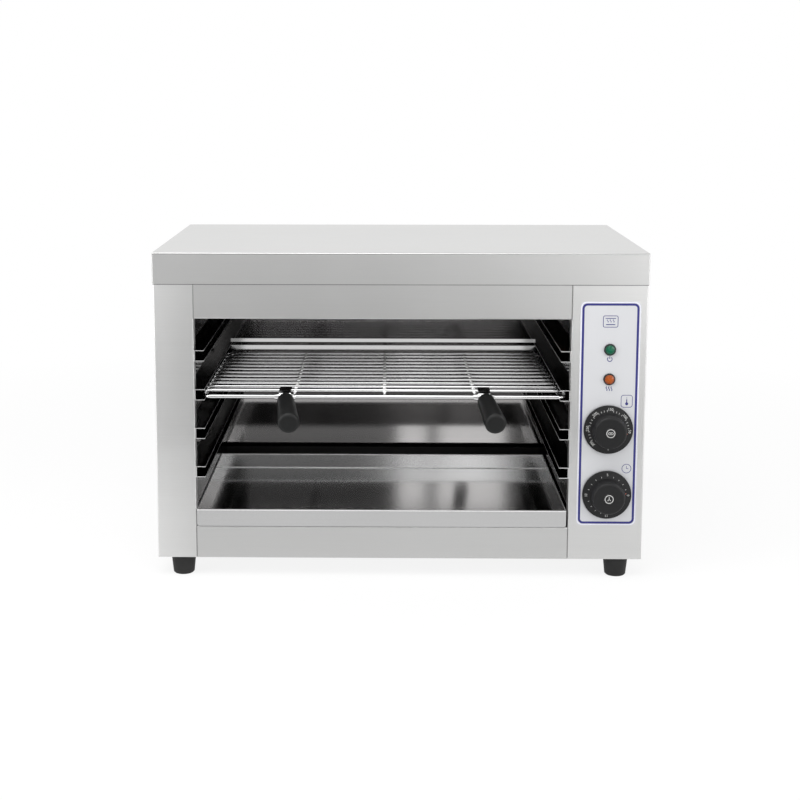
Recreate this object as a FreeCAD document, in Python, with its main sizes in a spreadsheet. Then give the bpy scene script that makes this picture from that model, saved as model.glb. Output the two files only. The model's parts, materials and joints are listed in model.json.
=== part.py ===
"""Counter-top cheese melter with an open front, a sliding wire rack and a crumb tray.

Millimetres, +Z up, +X to the right as seen from the front, front facing -Y.
The origin is on the counter, in the middle of the space that the whole melter takes up.
"""
import FreeCAD
import Part
import Sketcher

import math
import os
import re

# Driving sizes, in millimetres and degrees
SIZES = {
    # Casing
    "overall_width": 610.0,
    "casing_depth": 360.0,
    "casing_height": 387.0,
    "outer_gauge": 1.0,
    "liner_gauge": 0.8,
    "fold_radius": 1.6,
    "lid_skirt": 39.0,
    "pillar_width": 50.3,
    "control_width": 94.2,
    "fascia_height": 43.2,
    "sill_rise": 40.9,
    "return_depth": 14.0,
    "rear_flange": 16.0,
    # Cavity
    "rear_space": 43.0,
    "element_space": 23.2,
    "back_gap": 23.8,
    "rib_rise": 167.1,
    "rib_height": 7.4,
    "rib_gap": 4.9,
    "upper_rib_height": 5.0,
    "shield_gap": 16.0,
    "shield_foot": 8.0,
    # Rack guides
    "guide_height": 13.8,
    "guide_reach": 12.0,
    "guide_first_rise": 62.5,
    "guide_top_gap": 77.0,
    "guide_setback": 3.0,
    # Wire rack
    "frame_rod": 5.0,
    "rack_wire": 4.0,
    "rack_side_gap": 7.0,
    "rack_shift": 3.0,
    "rack_setback": 10.0,
    "rack_back_gap": 20.0,
    "rack_corner": 9.0,
    "wire_first": 20.0,
    "wire_last": 12.0,
    "weld_sink": 0.6,
    "rack_lift": 0.3,
    # Rack handles
    "handle_step": 11.1,
    "handle_droop": 12.0,
    "handle_lean": 7.0,
    "sleeve_radius": 4.9,
    "sleeve_end_radius": 3.4,
    "sleeve_taper": 5.5,
    "clip_window": 4.0,
    "clip_gauge": 1.6,
    "clip_width": 15.0,
    "clip_gap": 0.1,
    "stud_diameter": 6.0,
    "stud_length": 42.0,
    "grip_start": 9.0,
    "grip_length": 72.0,
    "grip_root": 21.0,
    "grip_tip": 26.5,
    "grip_round": 4.5,
    # Crumb tray
    "tray_back_gap": 35.0,
    "tray_height": 21.3,
    "tray_gauge": 1.0,
    "tray_hem": 2.4,
    "tray_left_gap": 0.4,
    "tray_right_gap": 2.1,
    "tray_lift": 0.3,
    "tray_round": 3.0,
    # Feet
    "foot_height": 24.3,
    "foot_top": 31.0,
    "foot_bottom": 26.5,
    "foot_inset": 31.0,
    "foot_front_inset": 18.0,
    "foot_back_inset": 45.0,
    "foot_edge": 1.5,
    "foot_recess": 12.0,
    "foot_recess_depth": 10.0,
    # Control panel
    "control_inset": 46.6,
    "label_width": 74.0,
    "label_top_gap": 20.8,
    "label_rise": 44.2,
    "label_gauge": 0.4,
    "label_corner": 6.0,
    "label_cutout": 44.0,
    # Lamps
    "lamp_rim": 14.8,
    "lamp_barrel": 11.8,
    "lamp_lens": 11.6,
    "lamp_proud": 2.4,
    "lamp_length": 24.0,
    "lamp_bore_depth": 9.0,
    # Knobs
    "knob_gap": 1.2,
    "knob_skirt": 61.0,
    "knob_skirt_height": 5.5,
    "knob_skirt_edge": 2.6,
    "knob_dome": 43.0,
    "knob_dome_top": 40.0,
    "knob_height": 22.0,
    "knob_round": 3.5,
    "knob_wall": 2.4,
    "knob_hub": 14.0,
    "cap_diameter": 13.2,
    "cap_depth": 2.0,
    "cap_proud": 0.5,
    "shaft_diameter": 6.0,
    "shaft_socket": 14.0,
    "shaft_engage": 10.0,
    "shaft_hole": 11.0,
    "bush_gap": 0.06,
    # Thermostat and timer
    "control_screw_spacing": 28.0,
    "thermostat_width": 42.0,
    "thermostat_height": 38.0,
    "thermostat_depth": 30.0,
    "diaphragm_diameter": 30.0,
    "diaphragm_depth": 6.0,
    "timer_width": 46.0,
    "timer_height": 46.0,
    "timer_depth": 26.0,
    "gear_case_diameter": 40.0,
    "gear_case_depth": 10.0,
    # Thermostat bulb
    "bulb_diameter": 6.0,
    "bulb_length": 95.0,
    "bulb_inset": 18.0,
    "bulb_drop": 9.0,
    "bulb_wall_gap": 14.0,
    "capillary_diameter": 2.2,
    "capillary_bend": 14.0,
    "capillary_run": 46.0,
    "capillary_back": 74.0,
    # Heating elements
    "element_diameter": 6.6,
    "element_drop": 12.0,
    "element_front": 70.0,
    "element_back": 67.0,
    "element_end_gap": 34.0,
    "element_out": 28.0,
    "element_pin": 3.0,
    "element_pin_length": 10.0,
    "hanger_inset": 120.0,
    "hanger_drop": 19.0,
    "hanger_margin": 12.0,
    # Screws
    "screw_diameter": 4.0,
    "screw_head": 7.6,
    "screw_head_height": 2.4,
    "screw_length": 9.0,
    "screw_slot": 1.0,
    "screw_slot_depth": 1.1,
    "screw_gap": 0.15,
    "foot_screw_diameter": 6.0,
    "foot_screw_head": 10.0,
    "foot_screw_head_height": 4.0,
    "foot_nut": 5.0,
    "foot_nut_radius": 5.6,
    # Rear panel and supply entry
    "vent_length": 60.0,
    "vent_width": 5.0,
    "vent_step": 13.0,
    "vent_rise": 210.0,
    "vent_offset": 200.0,
    "base_vent_offset": 72.0,
    "base_vent_length": 48.0,
    "gland_rise": 46.0,
    "gland_bore": 9.0,
    "gland_thread": 15.6,
    "gland_flats": 11.0,
    "gland_dome": 17.0,
    "gland_flange": 6.0,
    "gland_out": 17.0,
    "gland_in": 10.0,
    "gland_nut": 4.5,
    "terminal_width": 44.0,
    "terminal_depth": 22.0,
    "terminal_height": 17.0,
    "terminal_bore": 5.0,
    "terminal_behind": 62.0,
    # Overrun of every cutting tool past the face that it cuts
    "overrun": 2.0,
}

# Counts, and shares of a height or a width
GUIDE_COUNT = 4
RACK_LEVEL = 2
LONG_WIRES = 12
CROSS_WIRES = 3
VENT_COUNT = 7
TERMINAL_WAYS = 3
ELEMENT_COUNT = 2
SCREW_SPREAD_SHARES = (-0.36, 0.0, 0.36)
REAR_SCREW_SHARES = (0.12, 0.5, 0.88)
RIB_LEAN_SHARE = 0.12
CONTROL_SHARES = {"power_lamp": 0.7894, "heat_lamp": 0.6583, "thermostat": 0.4353, "timer": 0.1413}

doc = FreeCAD.newDocument("CheeseMelter")
sheet = doc.addObject("Spreadsheet::Sheet", "Sizes")
for row, (size_name, number) in enumerate(SIZES.items(), start=1):
    sheet.set(f"A{row}", str(number))
    sheet.setAlias(f"A{row}", size_name)
doc.recompute()

NODES = []
WORD = re.compile(r"[a-z_]+")


def bound(formula):
    """The formula with each size name pointing at its cell in the sheet."""
    return WORD.sub(lambda word: "Sizes." + word[0] if word[0] in SIZES else word[0], formula)


# Lines and planes that several pieces share, as formulas of the sizes
SIDE = "(overall_width/2 - outer_gauge)"
LEFT = "(pillar_width - overall_width/2)"
RIGHT = "(overall_width/2 - control_width)"
OPENING = "(overall_width - pillar_width - control_width)"
TILT = "acos(cos(handle_droop)*cos(handle_lean))"
GRIP_END = "(grip_start + grip_length)"
GRIP_REACH = (f"({GRIP_END}*cos({TILT}) - grip_round*cos({TILT})"
              f" + (grip_tip/2 - grip_round)*sin({TILT}) + grip_round)")
FRONT_REACH = f"({GRIP_REACH} - rack_setback)"
REAR_REACH = "(gland_out - outer_gauge)"
FRONT = f"(({FRONT_REACH} - casing_depth - {REAR_REACH})/2)"
FACE = f"({FRONT} + outer_gauge)"
BACK = f"({FRONT} + casing_depth - outer_gauge)"
REAR = f"({BACK} - outer_gauge)"
CAVITY_DEPTH = "(casing_depth - rear_space)"
CAVITY_BACK = f"({FRONT} + {CAVITY_DEPTH})"
FLOOR = "(foot_height + outer_gauge)"
TOP = "(foot_height + casing_height)"
ROOF = f"({TOP} - outer_gauge)"
SKIRT = f"({TOP} - lid_skirt)"
BROW = f"({SKIRT} - fascia_height)"
CEILING = f"({BROW} + element_space)"
SILL = "(foot_height + sill_rise)"
GUIDE_STEP = f"(({CEILING} - {SILL} - guide_first_rise - guide_top_gap)/{GUIDE_COUNT - 1})"
CONTROL_X = "(overall_width/2 - control_inset)"
LABEL_HEIGHT = "(casing_height - lid_skirt - label_rise - label_top_gap)"
RISES = {name: f"(label_rise + {LABEL_HEIGHT}*{share})" for name, share in CONTROL_SHARES.items()}
RACK_X = f"(({LEFT} + {RIGHT})/2 + rack_shift)"
RACK_WIDTH = f"({OPENING} - 2*rack_side_gap)"
RACK_LENGTH = f"({CAVITY_DEPTH} - rack_setback - rack_back_gap)"
CROSS_WIRE_STEP = f"{RACK_WIDTH}/{CROSS_WIRES + 1}"
RACK_Z = (f"({SILL} + guide_first_rise + {GUIDE_STEP}*{RACK_LEVEL}"
          f" + liner_gauge + rack_lift + frame_rod/2)")
LONG_WIRE_Z = f"({RACK_Z} + (frame_rod + rack_wire)/2 - weld_sink)"
CROSS_WIRE_Z = f"({LONG_WIRE_Z} - rack_wire + weld_sink)"
KNOB_Y = f"({FACE} - label_gauge - knob_gap)"

# Turns that stand a piece's own Z axis along another direction
DIRECTIONS = {
    "+x": (FreeCAD.Vector(0, 1, 0), 90, (1, 0, 0)),
    "-x": (FreeCAD.Vector(0, 1, 0), -90, (-1, 0, 0)),
    "+y": (FreeCAD.Vector(1, 0, 0), -90, (0, 1, 0)),
    "-y": (FreeCAD.Vector(1, 0, 0), 90, (0, -1, 0)),
    "+z": (FreeCAD.Vector(0, 0, 1), 0, (0, 0, 1)),
    "-z": (FreeCAD.Vector(1, 0, 0), 180, (0, 0, -1)),
}


# Helpers for places and primitives
def put(obj, at, direction="+z"):
    """Bind an object's place and stand its own Z axis along the direction."""
    axis, angle, _ = DIRECTIONS[direction]
    obj.Placement.Rotation = FreeCAD.Rotation(axis, angle)
    for letter, formula in zip("xyz", at):
        obj.setExpression(f".Placement.Base.{letter}", bound(formula))
    return obj


def moved(at, direction, distance):
    """The place that lies a distance along the direction from another place."""
    step = DIRECTIONS[direction][2]
    return tuple(f"{start} + {way}*({distance})" if way else start for start, way in zip(at, step))


def rod(name, at, direction, radius, length, far_radius=None):
    """A cylinder, or a cone where the far end has its own radius."""
    kind = "Part::Cylinder" if far_radius is None else "Part::Cone"
    solid = doc.addObject(kind, name)
    if far_radius is None:
        solid.setExpression("Radius", bound(radius))
    else:
        solid.setExpression("Radius1", bound(radius))
        solid.setExpression("Radius2", bound(far_radius))
    solid.setExpression("Height", bound(length))
    return put(solid, at, direction)


def block(name, low, high):
    """A box between two corners."""
    solid = doc.addObject("Part::Box", name)
    for side, start, end in zip(("Length", "Width", "Height"), low, high):
        solid.setExpression(side, bound(f"({end}) - ({start})"))
    return put(solid, low)


def fused(name, pieces):
    """One solid made of several."""
    solid = doc.addObject("Part::MultiFuse", name)
    solid.Shapes = pieces
    return solid


def cut(name, base, tools):
    """A solid less one tool or several."""
    solid = doc.addObject("Part::Cut", name)
    solid.Base = base
    solid.Tool = tools[0] if len(tools) == 1 else fused(name + "_tools", tools)
    return solid


def node(obj, label):
    """Give a finished piece the name of its file."""
    obj.Label = label
    NODES.append(obj)
    return obj


def group(label, pieces):
    """Several separate solids that share one name."""
    holder = doc.addObject("Part::Compound", label)
    holder.Links = pieces
    return node(holder, label)


# Helpers for bodies built from sketches
def new_body(label, at=("0", "0", "0"), direction="+z"):
    """An empty body with its label and its bound place."""
    body = doc.addObject("PartDesign::Body", label)
    put(body, at, direction)
    return node(body, label)


def new_sketch(body, name, role, lift=None):
    """A sketch on one of the body's own origin planes, lifted along that plane's normal."""
    sketch = body.newObject("Sketcher::SketchObject", f"{body.Label}_{name}")
    plane = [feature for feature in body.Origin.OriginFeatures if feature.Role == role][0]
    sketch.AttachmentSupport = (plane, "")
    sketch.MapMode = "FlatFace"
    if lift:
        sketch.setExpression("AttachmentOffset.Base.z", bound(lift))
    return sketch


def fix_point(sketch, part, vertex, x, y):
    """Hold one point of a sketch at two formulas."""
    for kind, formula, axis in (("DistanceX", x, -2), ("DistanceY", y, -1)):
        if formula == "0":
            sketch.addConstraint(Sketcher.Constraint("PointOnObject", part, vertex, axis))
        else:
            index = sketch.addConstraint(Sketcher.Constraint(kind, -1, 1, part, vertex, 1.0))
            sketch.setExpression(f"Constraints[{index}]", bound(formula))


def polygon(sketch, points):
    """A closed outline through points given as pairs of formulas."""
    count = len(points)
    first = sketch.GeometryCount
    ring = [FreeCAD.Vector(math.cos(math.tau*k/count), math.sin(math.tau*k/count), 0)
            for k in range(count)]
    for k in range(count):
        sketch.addGeometry(Part.LineSegment(ring[k], ring[(k + 1) % count]), False)
    for k in range(count):
        following = first + (k + 1) % count
        sketch.addConstraint(Sketcher.Constraint("Coincident", first + k, 2, following, 1))
    for k, (x, y) in enumerate(points):
        fix_point(sketch, first + k, 1, x, y)


def rectangle(sketch, x_low, y_low, x_high, y_high):
    """A closed rectangle between two corners."""
    polygon(sketch, [(x_low, y_low), (x_high, y_low), (x_high, y_high), (x_low, y_high)])


def circle(sketch, x, y, radius):
    """A full circle about a point."""
    index = sketch.addGeometry(Part.Circle(FreeCAD.Vector(1, 1, 0), FreeCAD.Vector(0, 0, 1), 1.0), False)
    fix_point(sketch, index, 3, x, y)
    bend = sketch.addConstraint(Sketcher.Constraint("Radius", index, 1.0))
    sketch.setExpression(f"Constraints[{bend}]", bound(radius))


def slot(sketch, x, y, length, width):
    """A level slot with round ends about a point."""
    up = FreeCAD.Vector(0, 0, 1)
    quarter = math.pi/2
    start = sketch.GeometryCount
    right_end = Part.Circle(FreeCAD.Vector(2, 0, 0), up, 1.0)
    left_end = Part.Circle(FreeCAD.Vector(-2, 0, 0), up, 1.0)
    sketch.addGeometry(Part.ArcOfCircle(right_end, -quarter, quarter), False)
    sketch.addGeometry(Part.LineSegment(FreeCAD.Vector(2, 1, 0), FreeCAD.Vector(-2, 1, 0)), False)
    sketch.addGeometry(Part.ArcOfCircle(left_end, quarter, 3*quarter), False)
    sketch.addGeometry(Part.LineSegment(FreeCAD.Vector(-2, -1, 0), FreeCAD.Vector(2, -1, 0)), False)
    for k in range(4):
        link = Sketcher.Constraint("Tangent", start + k, 2, start + (k + 1) % 4, 1)
        sketch.addConstraint(link)
    fix_point(sketch, start, 3, f"{x} + ({length} - {width})/2", y)
    fix_point(sketch, start + 2, 3, f"{x} - ({length} - {width})/2", y)
    sketch.addConstraint(Sketcher.Constraint("Equal", start, start + 2))
    bend = sketch.addConstraint(Sketcher.Constraint("Radius", start, 1.0))
    sketch.setExpression(f"Constraints[{bend}]", bound(f"{width}/2"))


def pad(body, sketch, length, reverse=False, centred=False):
    """Grow the sketch into a solid along its normal."""
    feature = body.newObject("PartDesign::Pad", f"{body.Label}_pad")
    feature.Profile = sketch
    feature.setExpression("Length", bound(length))
    feature.Reversed = reverse
    feature.Midplane = centred
    return feature


def pocket(body, sketch, depth=None, reverse=False):
    """Cut the sketch away, to a depth or right through."""
    feature = body.newObject("PartDesign::Pocket", f"{body.Label}_pocket")
    feature.Profile = sketch
    feature.Reversed = reverse
    if depth is None:
        feature.Type = "ThroughAll"
    else:
        feature.setExpression("Length", bound(depth))
    return feature


def repeat(body, feature, role, span, count):
    """Evenly spaced copies of a feature along one of the body's own axes."""
    doc.recompute()
    axis = [item for item in body.Origin.OriginFeatures if item.Role == role][0]
    pattern = body.newObject("PartDesign::LinearPattern", f"{feature.Name}_pattern")
    pattern.Originals = [feature]
    pattern.Direction = (axis, [""])
    pattern.setExpression("Length", bound(span))
    pattern.Occurrences = count
    body.Tip = pattern
    return pattern


def turned(body, profile, name="profile"):
    """Turn an outline of (radius, height) pairs about the body's Z axis."""
    sketch = new_sketch(body, name, "XZ_Plane")
    polygon(sketch, profile)
    feature = body.newObject("PartDesign::Revolution", f"{body.Label}_{name}_turn")
    feature.Profile = sketch
    feature.ReferenceAxis = (sketch, ["V_Axis"])
    feature.Angle = 360
    return feature


def rounded(body, feature, radius, chosen):
    """Round the edges of a feature that the test picks by their own box and the solid's box."""
    doc.recompute()
    space = feature.Shape.BoundBox
    names = [f"Edge{k}" for k, edge in enumerate(feature.Shape.Edges, start=1)
             if chosen(edge.BoundBox, space)]
    fillet = body.newObject("PartDesign::Fillet", f"{body.Label}_fillet")
    fillet.Base = (feature, names)
    fillet.setExpression("Radius", bound(radius))
    return fillet


def same(one, other):
    """Whether two numbers agree to well under any size here."""
    return math.isclose(one, other, rel_tol=1e-6, abs_tol=1e-6)


def upright(edge, space, at_x=None, at_y=None):
    """Whether an edge stands along Z at a named side of the solid's box."""
    if not (same(edge.XLength, 0) and same(edge.YLength, 0)):
        return False
    fits_x = at_x is None or same(edge.XMin, getattr(space, at_x))
    fits_y = at_y is None or same(edge.YMin, getattr(space, at_y))
    return fits_x and fits_y


# Casing
def make_lid():
    """A folded cap with a skirt all round and three screw holes in the rear skirt."""
    body = new_body("lid", ("0", f"{FRONT} + casing_depth/2", SKIRT))
    outline = new_sketch(body, "outline", "XY_Plane")
    rectangle(outline, "-overall_width/2", "-casing_depth/2", "overall_width/2", "casing_depth/2")
    shell = pad(body, outline, "lid_skirt")
    rounded(body, shell, "fold_radius",
            lambda edge, space: upright(edge, space) or same(edge.ZMin, space.ZMax))
    hollow = new_sketch(body, "hollow", "XY_Plane")
    rectangle(hollow, "outer_gauge - overall_width/2", "outer_gauge - casing_depth/2",
              "overall_width/2 - outer_gauge", "casing_depth/2 - outer_gauge")
    pocket(body, hollow, "lid_skirt - outer_gauge", reverse=True)
    holes = new_sketch(body, "holes", "XZ_Plane")
    for share in SCREW_SPREAD_SHARES:
        circle(holes, f"overall_width*{share}", "lid_skirt/2", "screw_diameter/2 + screw_gap")
    pocket(body, holes)


def make_side_panels():
    """The two folded sides. Each wraps round to the front; the right one is the control face."""
    profile = [
        (f"-{SIDE}", FACE),
        (LEFT, FACE),
        (LEFT, f"{FACE} + return_depth"),
        (f"{LEFT} - outer_gauge", f"{FACE} + return_depth"),
        (f"{LEFT} - outer_gauge", f"{FACE} + outer_gauge"),
        (f"-{SIDE} + outer_gauge", f"{FACE} + outer_gauge"),
        (f"-{SIDE} + outer_gauge", f"{REAR} - outer_gauge"),
        (f"-{SIDE} + rear_flange", f"{REAR} - outer_gauge"),
        (f"-{SIDE} + rear_flange", REAR),
        (f"-{SIDE}", REAR),
    ]
    left = new_body("left_side_panel", ("0", "0", FLOOR))
    sketch = new_sketch(left, "plan", "XY_Plane")
    polygon(sketch, profile)
    wall = pad(left, sketch, f"{ROOF} - {FLOOR}")
    rounded(left, wall, "fold_radius",
            lambda edge, space: upright(edge, space, at_y="YMin")
            or upright(edge, space, "XMin", "YMax"))
    rear_screw_holes(left, (f"-{SIDE} + rear_flange/2",))

    profile = [
        (SIDE, FACE),
        (SIDE, REAR),
        (f"{SIDE} - rear_flange", REAR),
        (f"{SIDE} - rear_flange", f"{REAR} - outer_gauge"),
        (f"{SIDE} - outer_gauge", f"{REAR} - outer_gauge"),
        (f"{SIDE} - outer_gauge", f"{FACE} + outer_gauge"),
        (f"{RIGHT} + outer_gauge", f"{FACE} + outer_gauge"),
        (f"{RIGHT} + outer_gauge", f"{FACE} + return_depth"),
        (RIGHT, f"{FACE} + return_depth"),
        (RIGHT, FACE),
    ]
    right = new_body("right_side_panel", ("0", "0", FLOOR))
    sketch = new_sketch(right, "plan", "XY_Plane")
    polygon(sketch, profile)
    wall = pad(right, sketch, f"{ROOF} - {FLOOR}")
    rounded(right, wall, "fold_radius",
            lambda edge, space: upright(edge, space, at_y="YMin")
            or upright(edge, space, "XMax", "YMax"))
    rear_screw_holes(right, (f"{SIDE} - rear_flange/2",))
    holes = new_sketch(right, "control_holes", "XZ_Plane")
    for name in ("power_lamp", "heat_lamp"):
        circle(holes, CONTROL_X, f"{RISES[name]} - outer_gauge", "lamp_barrel/2 + screw_gap")
    for name in ("thermostat", "timer"):
        height = f"{RISES[name]} - outer_gauge"
        circle(holes, CONTROL_X, height, "shaft_hole/2")
        for way in ("-", "+"):
            circle(holes, f"{CONTROL_X} {way} control_screw_spacing/2", height,
                   "screw_diameter/2 + screw_gap")
    pocket(right, holes, reverse=True)


def rear_screw_holes(body, columns):
    """Screw holes at three heights, cut from the body's middle out through its rear face."""
    holes = new_sketch(body, "rear_holes", "XZ_Plane")
    for column in columns:
        for share in REAR_SCREW_SHARES:
            circle(holes, column, f"({SKIRT} - {FLOOR})*{share}", "screw_diameter/2 + screw_gap")
    pocket(body, holes)


def make_front_rails():
    """The fascia above the opening and the lower panel below it."""
    fascia = new_body("fascia", (LEFT, FACE, BROW))
    sketch = new_sketch(fascia, "section", "YZ_Plane")
    polygon(sketch, [
        ("0", "0"),
        ("return_depth", "0"),
        ("return_depth", "outer_gauge"),
        ("outer_gauge", "outer_gauge"),
        ("outer_gauge", f"{ROOF} - {BROW}"),
        ("0", f"{ROOF} - {BROW}"),
    ])
    rail = pad(fascia, sketch, OPENING)
    rounded(fascia, rail, "fold_radius",
            lambda edge, space: same(edge.XLength, space.XLength)
            and same(edge.YMax, space.YMin) and same(edge.ZMax, space.ZMin))

    sill = new_body("lower_front_panel", (LEFT, FACE, FLOOR))
    sketch = new_sketch(sill, "section", "YZ_Plane")
    polygon(sketch, [
        ("0", "0"),
        ("return_depth", "0"),
        ("return_depth", "outer_gauge"),
        ("outer_gauge", "outer_gauge"),
        ("outer_gauge", f"{SILL} - {FLOOR} - outer_gauge"),
        ("return_depth", f"{SILL} - {FLOOR} - outer_gauge"),
        ("return_depth", f"{SILL} - {FLOOR}"),
        ("0", f"{SILL} - {FLOOR}"),
    ])
    rail = pad(sill, sketch, OPENING)
    rounded(sill, rail, "fold_radius",
            lambda edge, space: same(edge.XLength, space.XLength)
            and same(edge.YMax, space.YMin) and same(edge.ZMin, space.ZMax))


def make_rear_panel():
    """The screwed-on back with two stacks of cooling slots and the supply entry."""
    body = new_body("rear_panel", ("0", REAR, FLOOR))
    sketch = new_sketch(body, "outline", "XZ_Plane")
    rectangle(sketch, f"-{SIDE}", "0", SIDE, f"{ROOF} - {FLOOR}")
    circle(sketch, CONTROL_X, "gland_rise - outer_gauge", "gland_thread/2 + screw_gap")
    for share in SCREW_SPREAD_SHARES:
        circle(sketch, f"overall_width*{share}", f"{SKIRT} - {FLOOR} + lid_skirt/2",
               "screw_diameter/2 + screw_gap")
    for column in (f"-{SIDE} + rear_flange/2", f"{SIDE} - rear_flange/2"):
        for share in REAR_SCREW_SHARES:
            circle(sketch, column, f"({SKIRT} - {FLOOR})*{share}", "screw_diameter/2 + screw_gap")
    pad(body, sketch, "outer_gauge", reverse=True)
    vents = new_sketch(body, "vents", "XZ_Plane")
    for side in ("-", ""):
        slot(vents, f"{side}vent_offset", "vent_rise", "vent_length", "vent_width")
    first = pocket(body, vents)
    repeat(body, first, "Z_Axis", f"vent_step*{VENT_COUNT - 1}", VENT_COUNT)


def make_base_plate():
    """The bottom plate that carries the walls and the feet, with slots under the controls."""
    body = new_body("base_plate", ("0", "0", "foot_height"))
    sketch = new_sketch(body, "outline", "XY_Plane")
    rectangle(sketch, f"-{SIDE}", FACE, SIDE, BACK)
    for x, y in FOOT_PLACES:
        circle(sketch, x, y, "foot_screw_diameter/2 + screw_gap")
    for _, x in TERMINAL_SCREWS:
        circle(sketch, x, TERMINAL_Y, "screw_diameter/2 + screw_gap")
    pad(body, sketch, "outer_gauge")
    vents = new_sketch(body, "vents", "XY_Plane")
    slot(vents, CONTROL_X, f"{FACE} + base_vent_offset", "base_vent_length", "vent_width")
    first = pocket(body, vents, reverse=True)
    repeat(body, first, "Y_Axis", f"vent_step*{VENT_COUNT - 1}", VENT_COUNT)


# Cavity
def make_liner():
    """Five flat walls of the cavity and the shield that keeps its heat off the controls."""
    wall_front = f"{FACE} + return_depth"
    node(block("cavity_left_wall", (f"{LEFT} - liner_gauge", wall_front, FLOOR),
               (LEFT, REAR, CEILING)), "cavity_left_wall")

    wall = block("right_wall_sheet", (RIGHT, wall_front, FLOOR),
                 (f"{RIGHT} + liner_gauge", REAR, CEILING))
    tools = [rod(f"right_wall_hole_{k}", (f"{RIGHT} - overrun", y, ELEMENT_Z), "+x",
                 "element_diameter/2 + clip_gap", "liner_gauge + 2*overrun")
             for k, y in enumerate(ELEMENT_LEGS)]
    tools.append(rod("right_wall_bulb_hole", (f"{RIGHT} - overrun", BULB_Y, BULB_Z), "+x",
                     "capillary_diameter/2 + clip_gap", "liner_gauge + 2*overrun"))
    node(cut("cavity_right_wall", wall, tools), "cavity_right_wall")

    make_back_wall()
    node(block("cavity_ceiling",
               (f"{LEFT} - liner_gauge", f"{FACE} + return_depth", CEILING),
               (f"{RIGHT} + liner_gauge", REAR, f"{CEILING} + liner_gauge")), "cavity_ceiling")
    node(block("cavity_floor", (LEFT, f"{FACE} + return_depth", f"{SILL} - liner_gauge"),
               (RIGHT, REAR, SILL)), "cavity_floor")

    shield_x = f"{RIGHT} + shield_gap"
    shield = new_body("heat_shield", (shield_x, wall_front, FLOOR))
    sketch = new_sketch(shield, "section", "XZ_Plane")
    polygon(sketch, [
        ("0", "0"),
        ("shield_foot", "0"),
        ("shield_foot", "liner_gauge"),
        ("liner_gauge", "liner_gauge"),
        ("liner_gauge", f"{CEILING} - {FLOOR}"),
        ("0", f"{CEILING} - {FLOOR}"),
    ])
    pad(shield, sketch, f"{REAR} - outer_gauge - ({wall_front})", reverse=True)
    holes = new_sketch(shield, "holes", "YZ_Plane")
    for y in ELEMENT_LEGS:
        circle(holes, f"({y}) - ({wall_front})", f"{ELEMENT_Z} - {FLOOR}", "element_diameter")
    circle(holes, f"({BULB_Y}) - ({wall_front})", f"{BULB_Z} - {FLOOR}", "capillary_diameter")
    pocket(shield, holes, reverse=True)


def make_back_wall():
    """The cavity's rear sheet. Two shallow ribs, each sloping back to its top, run between the guides."""
    foot = f"{SILL} + back_gap"
    wall = new_body("cavity_back_wall", (LEFT, CAVITY_BACK, foot))
    section = new_sketch(wall, "section", "YZ_Plane")
    rectangle(section, "0", "0", "liner_gauge", f"{CEILING} - ({foot})")
    pad(wall, section, OPENING)
    inset = "(guide_reach + clip_gap)"
    ribs = new_sketch(wall, "ribs", "YZ_Plane", inset)
    low = "(rib_rise - back_gap)"
    for start, height in ((low, "rib_height"), (f"({low} + rib_height + rib_gap)", "upper_rib_height")):
        polygon(ribs, [
            (f"-{height}*{RIB_LEAN_SHARE}", start),
            ("liner_gauge", start),
            ("liner_gauge", f"{start} + {height}"),
            ("0", f"{start} + {height}"),
        ])
    pad(wall, ribs, f"{OPENING} - 2*{inset}")


def make_guides():
    """Four channels on each cavity wall, open towards the middle, that carry the rack."""
    for side, edge, way in (("left", LEFT, "+"), ("right", RIGHT, "-")):
        for level in range(GUIDE_COUNT):
            rise = f"{SILL} + guide_first_rise + {GUIDE_STEP}*{level}"
            guide = new_body(f"{side}_guide_{level + 1}", (edge, f"{FRONT} + guide_setback", rise))
            sketch = new_sketch(guide, "section", "XZ_Plane")
            web = f"{way}liner_gauge"
            reach = f"{way}guide_reach"
            polygon(sketch, [
                ("0", "0"),
                (reach, "0"),
                (reach, "liner_gauge"),
                (web, "liner_gauge"),
                (web, "guide_height - liner_gauge"),
                (reach, "guide_height - liner_gauge"),
                (reach, "guide_height"),
                ("0", "guide_height"),
            ])
            pad(guide, sketch, f"{CAVITY_DEPTH} - guide_setback", reverse=True)


# Heating
ELEMENT_Z = f"({CEILING} - element_drop)"
ELEMENT_STEP = f"(({CAVITY_DEPTH} - element_front - element_back)/{2*ELEMENT_COUNT - 1})"
ELEMENT_LEGS = [f"({FRONT} + element_front + {ELEMENT_STEP}*{leg})" for leg in range(2*ELEMENT_COUNT)]
BULB_Y = f"({CAVITY_BACK} - bulb_inset)"
BULB_Z = f"({CEILING} - bulb_drop)"


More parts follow.
